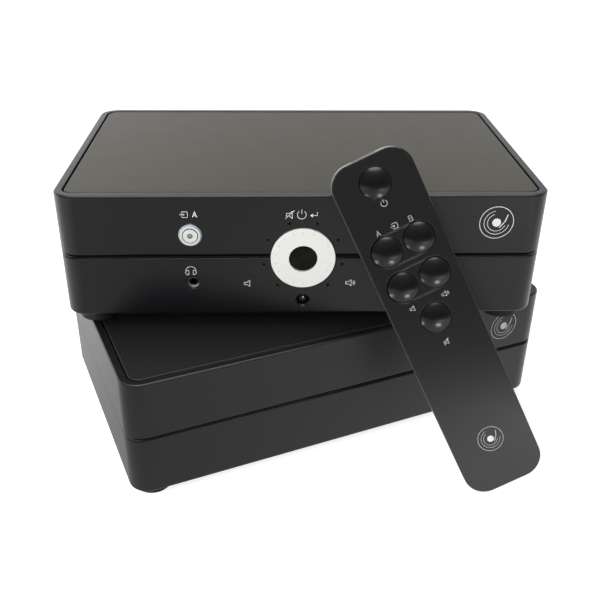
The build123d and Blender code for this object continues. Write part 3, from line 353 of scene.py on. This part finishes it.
def axes(tree, vector):
    """X, Y and Z of a vector."""
    parts = tree.nodes.new("ShaderNodeSeparateXYZ")
    tree.links.new(vector, parts.inputs[0])
    return parts.outputs


def noise(tree, size, detail, stretch=(1, 1, 1)):
    """Noise with patches of about a size in mm, from 0 to 1."""
    texture = tree.nodes.new("ShaderNodeTexNoise")
    texture.inputs["Scale"].default_value = 1.0
    texture.inputs["Detail"].default_value = detail
    scale = [1 / (size * MM * part) for part in stretch]
    tree.links.new(coordinates(tree, scale), texture.inputs["Vector"])
    return texture.outputs["Fac"]


def mapped(tree, value, span, levels, kind="LINEAR"):
    """Value brought from a span to levels, and held beyond them."""
    node = tree.nodes.new("ShaderNodeMapRange")
    node.interpolation_type = kind
    ends = ("From Min", "From Max", "To Min", "To Max")
    for end, number in zip(ends, (*span, *levels)):
        node.inputs[end].default_value = number
    tree.links.new(value, node.inputs["Value"])
    return node.outputs["Result"]


def ramp(tree, value, span, levels):
    """Soft step from one level to another."""
    return mapped(tree, value, span, levels, "SMOOTHSTEP")


def colour_mix(tree, factor, first, second):
    """Colour between two. Each is a socket or a tuple."""
    node = tree.nodes.new("ShaderNodeMix")
    node.data_type = "RGBA"
    tree.links.new(factor, node.inputs["Factor"])
    for socket, colour in (("A", first), ("B", second)):
        if isinstance(colour, tuple):
            node.inputs[socket].default_value = (*colour, 1)
        else:
            tree.links.new(colour, node.inputs[socket])
    return node.outputs["Result"]


def calculate(tree, operation, *values):
    """Result of one operation on sockets and numbers."""
    node = tree.nodes.new("ShaderNodeMath")
    node.operation = operation
    for index, value in enumerate(values):
        if isinstance(value, (int, float)):
            node.inputs[index].default_value = value
        else:
            tree.links.new(value, node.inputs[index])
    return node.outputs[0]


def bump(tree, shader, value, depth, edge):
    """Relief of a depth, over edges rounded to a radius, both in mm."""
    node = tree.nodes.new("ShaderNodeBump")
    node.inputs["Distance"].default_value = depth * MM
    tree.links.new(value, node.inputs["Height"])
    if edge > 0:
        rounding = tree.nodes.new("ShaderNodeBevel")
        rounding.samples = BEVEL_SAMPLES
        rounding.inputs["Radius"].default_value = edge * MM
        tree.links.new(rounding.outputs["Normal"], node.inputs["Normal"])
    tree.links.new(node.outputs["Normal"], shader.inputs["Normal"])


def shade(colour, factor):
    """Colour made lighter or darker."""
    return tuple(min(1.0, part * factor) for part in colour)


def finish(name, colour, roughness, metallic=0.0, grain=0.35, relief=0.01, contrast=0.12,
           stretch=(1, 1, 1), specular=0.5, tint=(1, 1, 1), edge=0.0):
    """Grained finish: fine grain in colour and relief, broad patches in roughness."""
    material, tree, shader = new_material(name)
    fine = noise(tree, grain, FINE_DETAIL, stretch)
    broad = noise(tree, BROAD_PATCH, BROAD_DETAIL)
    dark, light = shade(colour, 1 - contrast), shade(colour, 1 + contrast)
    tones = colour_mix(tree, mapped(tree, fine, NOISE_SPAN, (0, 1)), dark, light)
    tree.links.new(tones, shader.inputs["Base Color"])
    levels = (roughness * (1 - ROUGHNESS_SPREAD), roughness * (1 + ROUGHNESS_SPREAD))
    tree.links.new(mapped(tree, broad, NOISE_SPAN, levels), shader.inputs["Roughness"])
    shader.inputs["Metallic"].default_value = metallic
    shader.inputs["Specular IOR Level"].default_value = specular
    shader.inputs["Specular Tint"].default_value = (*tint, 1)
    if relief > 0:
        bump(tree, shader, fine, relief, edge)
    return material


def toned(material, mask, colour):
    """Another colour where a mask is 1."""
    tree = material.node_tree
    base = tree.nodes["Principled BSDF"].inputs["Base Color"]
    grained = base.links[0].from_socket
    tree.links.new(colour_mix(tree, mask, grained, colour), base)


def front_face_tone(material, node, colour):
    """Another colour on the flat of a node that lies foremost, towards -Y."""
    tree = material.node_tree
    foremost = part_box(node)[0].y
    span = [foremost + depth * MM for depth in FACE_TONE_DEPTH]
    y = axes(tree, coordinates(tree))["Y"]
    toned(material, mapped(tree, y, span, (1, 0)), colour)


def rim_tone(material, node, radius, colour, outside):
    """Another colour beyond or within a radius in mm around a node's left and right round parts."""
    tree = material.node_tree
    low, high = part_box(node)
    reach = (high.z - low.z) / 2
    x, _, z = axes(tree, coordinates(tree))
    across = calculate(tree, "SUBTRACT", calculate(tree, "ABSOLUTE", x), high.x - reach)
    along = calculate(tree, "SUBTRACT", z, low.z + reach)
    squares = [calculate(tree, "POWER", part, 2) for part in (across, along)]
    distance = calculate(tree, "SQRT", calculate(tree, "ADD", *squares))
    span = ((radius - PAINT_EDGE) * MM, (radius + PAINT_EDGE) * MM)
    toned(material, mapped(tree, distance, span, (0, 1) if outside else (1, 0)), colour)


# ---- Materials -------------------------------------------------------------------------

CASE_EDGE = 0.9                           # mm, apparent rounding of the case edges
REMOTE_EDGE = 0.7                         # mm, and of the remote's plate
CASE_FINISH = dict(grain=0.5, relief=0.03, edge=CASE_EDGE)
GOLD = (0.80, 0.56, 0.20)
GOLD_FINISH = dict(metallic=1.0, grain=0.3, relief=0.002, contrast=0.05)
SMALL_FINISH = dict(grain=0.12, relief=0.004, contrast=0.06)

BEZEL_FACE = (0.76, 0.76, 0.72)
BEZEL_BRIGHT_RADIUS = 5.6                 # mm, the flare is black outside it
BEZEL_FLARE = (0.005, 0.005, 0.006)
BORE_SHADE_RADIUS = 3.85                  # mm, inside it the bore is painted black: painted shade in the gap around the cap
BORE_SHADE = (0.006, 0.006, 0.006)
CAP_FACE = (0.80, 0.80, 0.755)
# Dark front faces of the jack ferrules: painted shade deep in the jack openings.
FERRULE_FACE_SHADE = (0.03, 0.03, 0.03)

# Of each material slot: colour, roughness and what else differs from a plain finish.
FINISHES = {
    "control_case": ((0.0042, 0.0044, 0.0058), 0.34, CASE_FINISH),
    "supply_case": ((0.0062, 0.0062, 0.0060), 0.34, CASE_FINISH),
    "control_plate": ((0.0265, 0.0240, 0.0170), 0.42,
                      dict(CASE_FINISH, specular=0.43, tint=(1.0, 0.95, 0.78))),
    "supply_plate": ((0.0100, 0.0108, 0.0102), 0.42, dict(CASE_FINISH, specular=0.33)),
    "rear_panel": ((0.0125, 0.0125, 0.0132), 0.45, dict(grain=0.25, specular=0.35)),
    "foot_rubber": ((0.027, 0.027, 0.029), 0.75, dict(grain=0.5, relief=0.02, specular=0.3)),
    "pad_rubber": ((0.030, 0.030, 0.030), 0.8, dict(grain=0.6, relief=0.02)),
    "black_steel": ((0.045, 0.045, 0.048), 0.35, dict(metallic=0.8, grain=0.4, relief=0.004)),
    "plain_steel": ((0.55, 0.55, 0.56), 0.35, dict(metallic=1.0, grain=0.5, relief=0.004)),
    "dial_aluminium": ((0.92, 0.92, 0.87), 0.42, dict(grain=0.16, relief=0.012, contrast=0.045)),
    # The lens's broad lighter and darker patches are a painted reflection.
    "dark_lens": ((0.0050, 0.0054, 0.0036), 0.10,
                  dict(grain=5.0, relief=0, contrast=0.4, specular=0.13)),
    "eye_lens": ((0.006, 0.005, 0.006), 0.06, dict(grain=2.0, relief=0)),
    "button_cap": ((0.012, 0.012, 0.012), 0.38, dict(grain=0.14, relief=0.006, contrast=0.05)),
    # The bezels' bluish grey, which shows on their flares, is a painted bluish highlight.
    "button_bezel": ((0.40, 0.45, 0.54), 0.30, dict(grain=0.2, relief=0.004, contrast=0.06)),
    "component_black": ((0.020, 0.020, 0.021), 0.55, dict(grain=0.3)),
    # The volume lamps around the dial are nearly black: painted shade in their small holes.
    "lamp": ((0.0006, 0.0006, 0.0007), 0.6, dict(grain=0.5, relief=0, specular=0.02)),
    "ferrule": ((0.50, 0.52, 0.57), 0.35, dict(grain=0.3, relief=0.002, contrast=0.06)),
    "socket_black": ((0.004, 0.004, 0.004), 0.6, dict(grain=0.4, relief=0.008, specular=0.2)),
    "board_green": ((0.010, 0.090, 0.040), 0.4, dict(grain=0.9, relief=0.02, contrast=0.25)),
    "can_sleeve": ((0.020, 0.025, 0.060), 0.4, dict(grain=1.2)),
    "film_red": ((0.30, 0.02, 0.015), 0.35, dict(grain=1.5, relief=0.03)),
    "socket_shell": ((0.022, 0.022, 0.024), 0.42, dict(grain=0.3)),
    "gold": (GOLD, 0.22, GOLD_FINISH),
    "gold_nut": (GOLD, 0.25, GOLD_FINISH),
    "winding": ((0.42, 0.15, 0.05), 0.35,
                dict(metallic=0.6, grain=0.9, relief=0.1, contrast=0.3)),
    "bare_aluminium": ((0.60, 0.60, 0.61), 0.4, dict(metallic=1.0, grain=0.3, stretch=(1, 1, 12))),
    "mains_plastic": ((0.016, 0.016, 0.017), 0.5, dict(grain=0.4, relief=0.012)),
    "rocker_plastic": ((0.012, 0.012, 0.013), 0.3, dict(grain=0.5, relief=0.006)),
    "remote_body": ((0.27, 0.265, 0.25), 0.38, dict(metallic=0.3, grain=0.2)),
    "remote_plate": ((0.0100, 0.0100, 0.0104), 0.20,
                     dict(grain=0.5, relief=0.03, specular=1.0, edge=REMOTE_EDGE)),
    "remote_key": ((0.0040, 0.0040, 0.0042), 0.22, dict(grain=4.0, relief=0)),
    "cell_steel": ((0.6, 0.6, 0.6), 0.3, dict(metallic=1.0, grain=0.4, relief=0.004)),
}

materials = {}
for slot, (colour, roughness, rest) in FINISHES.items():
    materials[slot] = finish(slot, colour, roughness, **rest)
bezel = materials["button_bezel"]
front_face_tone(bezel, "input_button_bezels", BEZEL_FACE)
front_face_tone(materials["button_cap"], "input_a_button", CAP_FACE)
rim_tone(bezel, "input_button_bezels", BEZEL_BRIGHT_RADIUS, BEZEL_FLARE, True)
# Painted shade: the bezel's bore black, in the gap around the cap.
rim_tone(bezel, "input_button_bezels", BORE_SHADE_RADIUS, BORE_SHADE, False)
# Painted shade on the ferrules' front faces.
front_face_tone(materials["ferrule"], "jack_ferrules", FERRULE_FACE_SHADE)
ink = finish("print_ink", (0.92, 0.93, 0.94), 0.5, **SMALL_FINISH)
# Grey for the bottoms of the dial's dimples: painted shade.
dimple_shade = finish("dimple_shade", (0.42, 0.42, 0.40), 0.5, **SMALL_FINISH)
eye_rim_grey = finish("eye_rim_grey", (0.16, 0.16, 0.16), 0.4, **SMALL_FINISH)
eye_grey = finish("eye_grey", (0.30, 0.30, 0.30), 0.3, **SMALL_FINISH)

for node, thing in nodes.items():
    thing.data.materials.clear()
    thing.data.materials.append(materials[node_slots[node]])

# ---- Print on the two cases, in mm -------------------------------------------------------

LINE = 0.25                               # width of a line
LETTER_LINE = 1.9                         # of a line, as are the next two
HEADPHONE_LINE = 0.85
MARK_LINE = 1.25
BUTTON_SIGN_RISE = 10.5                   # from a button's middle to its signs
INPUT_SIGN_OUT = 2.4                      # the box sign, outwards from the button's middle
INPUT_SIGN_SCALE = 0.80
LETTER_IN = 2.6                           # the letter, inwards
LETTER_SCALE = 0.75
DIAL_SIGNS = ((-1, mute_sign, 1.02), (0, power_sign, 1.05), (1, enter_sign, 0.82))
DIAL_SIGN_RISE = 22.7                     # from the dial's middle to the row over it
DIAL_SIGN_STEP = 5.7
DIAL_SIGN_SHIFT = -0.9
VOLUME_SIGN_DROP = 13.7                   # from the dial's middle to the two at its sides
VOLUME_SIGN_OUT = 25.0
VOLUME_SIGN_SHIFT = -2.2
VOLUME_SIGN_SCALE = 0.95
JACK_SIGN_RISE = 6.8                      # from a jack's middle to its sign
JACK_SIGN_SHIFT = -0.7
JACK_SIGN_SCALE = 0.95
MARK_X = 92.3                             # round marks, from the middle of a case
MARK_RADIUS = 8.3
CONTROL_MARK_RISE = 49.5                  # from the lowest edge of the lower shell
SUPPLY_MARK_RISE = 47.4

mark = record_sign(MARK_RADIUS, LINE * MARK_LINE)
drawing = shifted(mark, MARK_X, CONTROL_MARK_RISE)
for button, side, letter in (("input_a_button", -1, letter_a), ("input_b_button", 1, letter_b)):
    x, y = on_face(control_face, button)
    y += BUTTON_SIGN_RISE
    box_x = x + side * INPUT_SIGN_OUT
    drawing += shifted(input_sign(LINE), box_x, y, INPUT_SIGN_SCALE, side > 0)
    drawing += shifted(letter(LINE * LETTER_LINE), x - side * LETTER_IN, y, LETTER_SCALE)
dial_x, dial_y = on_face(control_face, "volume_ring")
for step, sign, scale in DIAL_SIGNS:
    x = dial_x + step * DIAL_SIGN_STEP + DIAL_SIGN_SHIFT
    drawing += shifted(sign(LINE), x, dial_y + DIAL_SIGN_RISE, scale)
for side, sign in ((-1, speaker_sign), (1, loud_sign)):
    x = dial_x + side * VOLUME_SIGN_OUT + VOLUME_SIGN_SHIFT
    drawing += shifted(sign(LINE), x, dial_y - VOLUME_SIGN_DROP, VOLUME_SIGN_SCALE)
_, jack_y = on_face(control_face, "headphone_jacks")
for button in ("input_a_button", "input_b_button"):
    x = on_face(control_face, button)[0] + JACK_SIGN_SHIFT
    sign = headphone_sign(LINE * HEADPHONE_LINE)
    drawing += shifted(sign, x, jack_y + JACK_SIGN_RISE, JACK_SIGN_SCALE)
printed("control_print", drawing, control_face, "control_unit", "button_bezel", ink)

drawing = shifted(mark, MARK_X, SUPPLY_MARK_RISE)
printed("supply_print", drawing, supply_face, "supply", "button_bezel", ink)

# ---- Print on the remote, in mm ------------------------------------------------------------

REMOTE_LINE = 0.15
REMOTE_SCALE = 0.74
REMOTE_MARK_RISE = 26.0                   # from the foot
REMOTE_MARK_RADIUS = 6.4
REMOTE_INPUTS = ("remote_input_a_button", "remote_input_b_button")
REMOTE_SIGNS = (                          # sign, the buttons it is midway between, rise from them
    (power_sign, ("remote_power_button",), -9.9),
    (letter_a, REMOTE_INPUTS[:1], 10.0),
    (letter_b, REMOTE_INPUTS[1:], 10.0),
    (input_sign, REMOTE_INPUTS, 10.0),
    (speaker_sign, ("remote_quieter_button",), -11.2),
    (loud_sign, ("remote_louder_button",), -11.2),
    (mute_sign, ("remote_mute_button",), -13.1),
)

drawing = []
for sign, buttons, rise in REMOTE_SIGNS:
    places = [on_face(remote_face, button) for button in buttons]
    x = sum(place[0] for place in places) / len(places)
    drawing += shifted(sign(REMOTE_LINE), x, places[0][1] + rise, REMOTE_SCALE)
drawing += shifted(record_sign(REMOTE_MARK_RADIUS, REMOTE_LINE), 0, REMOTE_MARK_RISE)
printed("remote_print", drawing, remote_face, "remote", "button_bezel", ink)

# ---- Small details of the dial and the input buttons, in mm -----------------------------------

DIMPLES = 18
DIMPLE_CIRCLE = 13.5                      # radius of the circle that they stand on
DIMPLE_RADIUS = 0.24
DIMPLE_DEPTH = 0.2                        # behind the ring's foremost face
EYE_RADIUS = 1.25
EYE_RIM = 0.35                            # width of the rim
EYE_DEPTH = 0.3                           # behind the button's foremost face
EYE_RISE = 0.12                           # of the rim and of the dome
EYE_SKIN = 0.02                           # of the dome's edge
DOME_RADII = (0.75, 0.5, 0.25)            # of the dome's radius

# Grey discs at the bottoms of the dial's dimples: painted shade in the dimples.
drawing = []
for index in range(DIMPLES):
    angle = math.radians((index + 0.5) * 360 / DIMPLES)
    x, y = DIMPLE_CIRCLE * math.cos(angle), DIMPLE_CIRCLE * math.sin(angle)
    drawing.append((ring(x, y, DIMPLE_RADIUS), None, None))
place = front_place("volume_ring", DIMPLE_DEPTH)
printed("dial_dimple_shade", drawing, place, "volume_ring", "dial_aluminium", dimple_shade)

inner = EYE_RADIUS - EYE_RIM
rim = [(0, -INK_DEPTH), (EYE_RADIUS, -INK_DEPTH), (EYE_RADIUS, EYE_RISE), (inner, EYE_RISE)]
rim += [(inner, 0), (0, 0)]
dome = [(0, -INK_DEPTH), (inner, -INK_DEPTH), (inner, EYE_SKIN)]
dome += [(inner * part, EYE_RISE * (1 - part ** 2) + EYE_SKIN) for part in DOME_RADII]
dome += [(0, EYE_RISE + EYE_SKIN)]
for name in ("input_a_button", "input_b_button"):
    place = front_place(name, EYE_DEPTH)
    lathed(name + "_eye_rim", rim, place, name, "button_cap", eye_rim_grey)
    lathed(name + "_eye", dome, place, name, "button_cap", eye_grey)

# ---- Floor and world -------------------------------------------------------------------------

FLOOR_SIZE = 4.0                          # metres
FLOOR_COLOUR = (0.79, 0.80, 0.82)
FLOOR_ROUGHNESS = 0.9
FLOOR_GLOW = 0.74                         # as the camera sees it
WHITE = (1, 1, 1, 1)

# The floor as surfaces mirror it: levels, and the metres between which they change.
POOL_LEVELS = (0.95, 0.54)                # at the pool's centre and far from it
POOL_CENTRE = (0.35, -0.20, 0)
POOL_REACH = (0.10, 0.60)
REMOTE_LEVELS = (2.0, 0)                  # more where the remote's lower end mirrors it
REMOTE_CENTRE = (0.35, -0.54, 0)
REMOTE_REACH = (0.05, 0.24)
OUTER_PARTS = (0.15, 1)                   # part that is left far in front, and near
OUTER_Y = (-1.80, -0.45)
BACK_LEVELS = (0, 0.60)                   # more behind the object's front
BACK_Y = (-0.12, 0.10)
LEFT_LEVELS = (0.60, 0)                   # more at the object's left
LEFT_X = (-0.35, -0.16)

# The world: levels, and the parts of a unit direction between which they change.
WORLD_BACK_LEVELS = (1.50, 0.25)          # behind the object, near the horizon and high
WORLD_BACK_Z = (0.18, 0.62)
WORLD_SIDE_PARTS = (1.35, 0.82)           # of that, at the left and at the right
WORLD_SIDE_X = (-0.45, 0.05)
WORLD_FRONT_LEVELS = (0.12, 0.35)         # on the viewer's side, low and high
WORLD_FRONT_Z = (0.15, 0.95)
WORLD_TURN_Y = (-0.55, 0.45)              # from the viewer's side to behind the object
WORLD_TOP_LEVELS = (0, 4.6)               # more overhead, in reflections
WORLD_TOP_Z = (0.84, 0.92)


def light_path(tree):
    """Whether a ray comes from the camera, and whether from a surface that mirrors."""
    rays = tree.nodes.new("ShaderNodeLightPath").outputs
    mirrored = calculate(tree, "MAXIMUM", rays["Is Glossy Ray"], rays["Is Transmission Ray"])
    return rays["Is Camera Ray"], mirrored


def mix_shaders(tree, factor, first, second, output):
    """Mix of two shaders on an output."""
    mix = tree.nodes.new("ShaderNodeMixShader")
    tree.links.new(factor, mix.inputs[0])
    tree.links.new(first.outputs[0], mix.inputs[1])
    tree.links.new(second.outputs[0], mix.inputs[2])
    tree.links.new(mix.outputs[0], output.inputs["Surface"])


def distance_from(tree, place, middle):
    """Distance of a place from a point."""
    node = tree.nodes.new("ShaderNodeVectorMath")
    node.operation = "DISTANCE"
    node.inputs[1].default_value = middle
    tree.links.new(place, node.inputs[0])
    return node.outputs["Value"]


def floor_sheen(tree):
    """The floor in reflections: soft pools of light, brighter at the back and at the left."""
    place = tree.nodes.new("ShaderNodeTexCoord").outputs["Object"]
    x, y, _ = axes(tree, place)
    pool = ramp(tree, distance_from(tree, place, POOL_CENTRE), POOL_REACH, POOL_LEVELS)
    remote = ramp(tree, distance_from(tree, place, REMOTE_CENTRE), REMOTE_REACH, REMOTE_LEVELS)
    pool = calculate(tree, "ADD", pool, remote)
    pool = calculate(tree, "MULTIPLY", pool, ramp(tree, y, OUTER_Y, OUTER_PARTS))
    back = ramp(tree, y, BACK_Y, BACK_LEVELS)
    left = ramp(tree, x, LEFT_X, LEFT_LEVELS)
    return calculate(tree, "ADD", pool, calculate(tree, "ADD", back, left))


def floor():
    """Pale floor that keeps the object's shadow, glows white to the camera and shows painted pools
    of light in reflections.
    """
    half = FLOOR_SIZE / 2
    corners = [(-half, -half, 0), (half, -half, 0), (half, half, 0), (-half, half, 0)]
    mesh = bpy.data.meshes.new("floor")
    mesh.from_pydata(corners, [], [(0, 1, 2, 3)])
    thing = bpy.data.objects.new("floor", mesh)
    bpy.context.scene.collection.objects.link(thing)
    material, tree, shader = new_material("floor")
    shader.inputs["Base Color"].default_value = (*FLOOR_COLOUR, 1)
    shader.inputs["Roughness"].default_value = FLOOR_ROUGHNESS
    shader.inputs["Specular IOR Level"].default_value = 0.0
    shader.inputs["Emission Color"].default_value = WHITE
    seen, mirrored = light_path(tree)
    glow = calculate(tree, "MULTIPLY", seen, FLOOR_GLOW)
    tree.links.new(glow, shader.inputs["Emission Strength"])
    sheen = tree.nodes.new("ShaderNodeEmission")
    tree.links.new(floor_sheen(tree), sheen.inputs["Strength"])
    output = next(node for node in tree.nodes if node.type == "OUTPUT_MATERIAL")
    mix_shaders(tree, mirrored, shader, sheen, output)
    mesh.materials.append(material)


def world():
    """Bright behind the object, darker on the viewer's side, plain white to the camera."""
    sky = bpy.data.worlds.new("studio")
    bpy.context.scene.world = sky
    sky.use_nodes = True
    tree = sky.node_tree
    tree.nodes.clear()
    output = tree.nodes.new("ShaderNodeOutputWorld")
    x, y, z = axes(tree, tree.nodes.new("ShaderNodeTexCoord").outputs["Generated"])
    back = ramp(tree, z, WORLD_BACK_Z, WORLD_BACK_LEVELS)
    back = calculate(tree, "MULTIPLY", back, ramp(tree, x, WORLD_SIDE_X, WORLD_SIDE_PARTS))
    front = ramp(tree, z, WORLD_FRONT_Z, WORLD_FRONT_LEVELS)
    behind = ramp(tree, y, WORLD_TURN_Y, (0, 1))
    difference = calculate(tree, "SUBTRACT", back, front)
    level = calculate(tree, "ADD", front, calculate(tree, "MULTIPLY", behind, difference))
    seen, mirrored = light_path(tree)
    top = calculate(tree, "MULTIPLY", mirrored, ramp(tree, z, WORLD_TOP_Z, WORLD_TOP_LEVELS))
    level = calculate(tree, "ADD", level, top)
    studio, plain = (tree.nodes.new("ShaderNodeBackground") for _ in range(2))
    studio.inputs["Color"].default_value = WHITE
    plain.inputs["Color"].default_value = WHITE
    tree.links.new(level, studio.inputs["Strength"])
    mix_shaders(tree, seen, studio, plain, output)


# ---- Lamps ----------------------------------------------------------------------------------

OBJECT_MIDDLE = Vector((0, 0, 0.08))      # metres
LAMPS = (                                 # name, place and size in metres, watts
    ("overhead", (-0.25, 0.15, 1.3), 1.1, 6.0),
    ("front", (-0.7, -1.2, 0.9), 0.9, 17.0),
)
REMOTE_KEYS = [node for node in nodes if node_slots[node] == "remote_key"]
HIGHLIGHTS = (                            # name, nodes that it lights, offset and size, watts
    ("keys_right", REMOTE_KEYS, (0.072, -0.155, -0.115), 0.05, 0.11),
    ("keys_left", REMOTE_KEYS, (-0.10, -0.13, -0.110), 0.04, 0.05),
    ("eye_top", ["infrared_eye"], (0.06, -0.19, 0.09), 0.06, 0.6),
)


def lamp(name, place, target, size, energy):
    """Soft square lamp that looks at a target."""
    light = bpy.data.lights.new(name, "AREA")
    light.shape = "SQUARE"
    light.size = size
    light.energy = energy
    thing = bpy.data.objects.new(name, light)
    bpy.context.scene.collection.objects.link(thing)
    thing.location = place
    thing.rotation_euler = (target - Vector(place)).to_track_quat("-Z", "Y").to_euler()
    thing.visible_camera = False
    return thing


def highlight(name, lit, offset, size, energy):
    """Small lamp that lights some nodes only, for their highlights."""
    receivers = bpy.data.collections.new(name)
    for node in lit:
        receivers.objects.link(nodes[node])
    middle = sum((centre(node) for node in lit), Vector()) / len(lit)
    thing = lamp(name, middle + Vector(offset), middle, size, energy)
    thing.light_linking.receiver_collection = receivers


floor()
world()
for name, place, size, energy in LAMPS:
    lamp(name, place, OBJECT_MIDDLE, size, energy).visible_glossy = False
for settings in HIGHLIGHTS:
    highlight(*settings)

# ---- Camera, at the photograph's place and angle --------------------------------------------

CAMERA_PLACE = (-16.3, -400.5, 279.4)     # mm
CAMERA_LENS = 47.60                       # mm, on a sensor of this width
CAMERA_SENSOR = 36.0
CAMERA_PITCH = 29.338                     # degrees down
CAMERA_YAW = -2.502
CAMERA_ROLL = 0.772

data = bpy.data.cameras.new("camera")
data.lens = CAMERA_LENS
data.sensor_width = CAMERA_SENSOR
camera = bpy.data.objects.new("camera", data)
bpy.context.scene.collection.objects.link(camera)
turn = Matrix.Rotation(math.radians(CAMERA_YAW), 3, "Z")
tip = Matrix.Rotation(math.radians(90 - CAMERA_PITCH), 3, "X")
roll = Matrix.Rotation(math.radians(CAMERA_ROLL), 3, "Z")
place = Matrix.Translation(Vector(CAMERA_PLACE) * MM)
camera.matrix_world = place @ (turn @ tip @ roll).to_4x4()
bpy.context.scene.camera = camera
bpy.context.scene.view_settings.view_transform = "Standard"
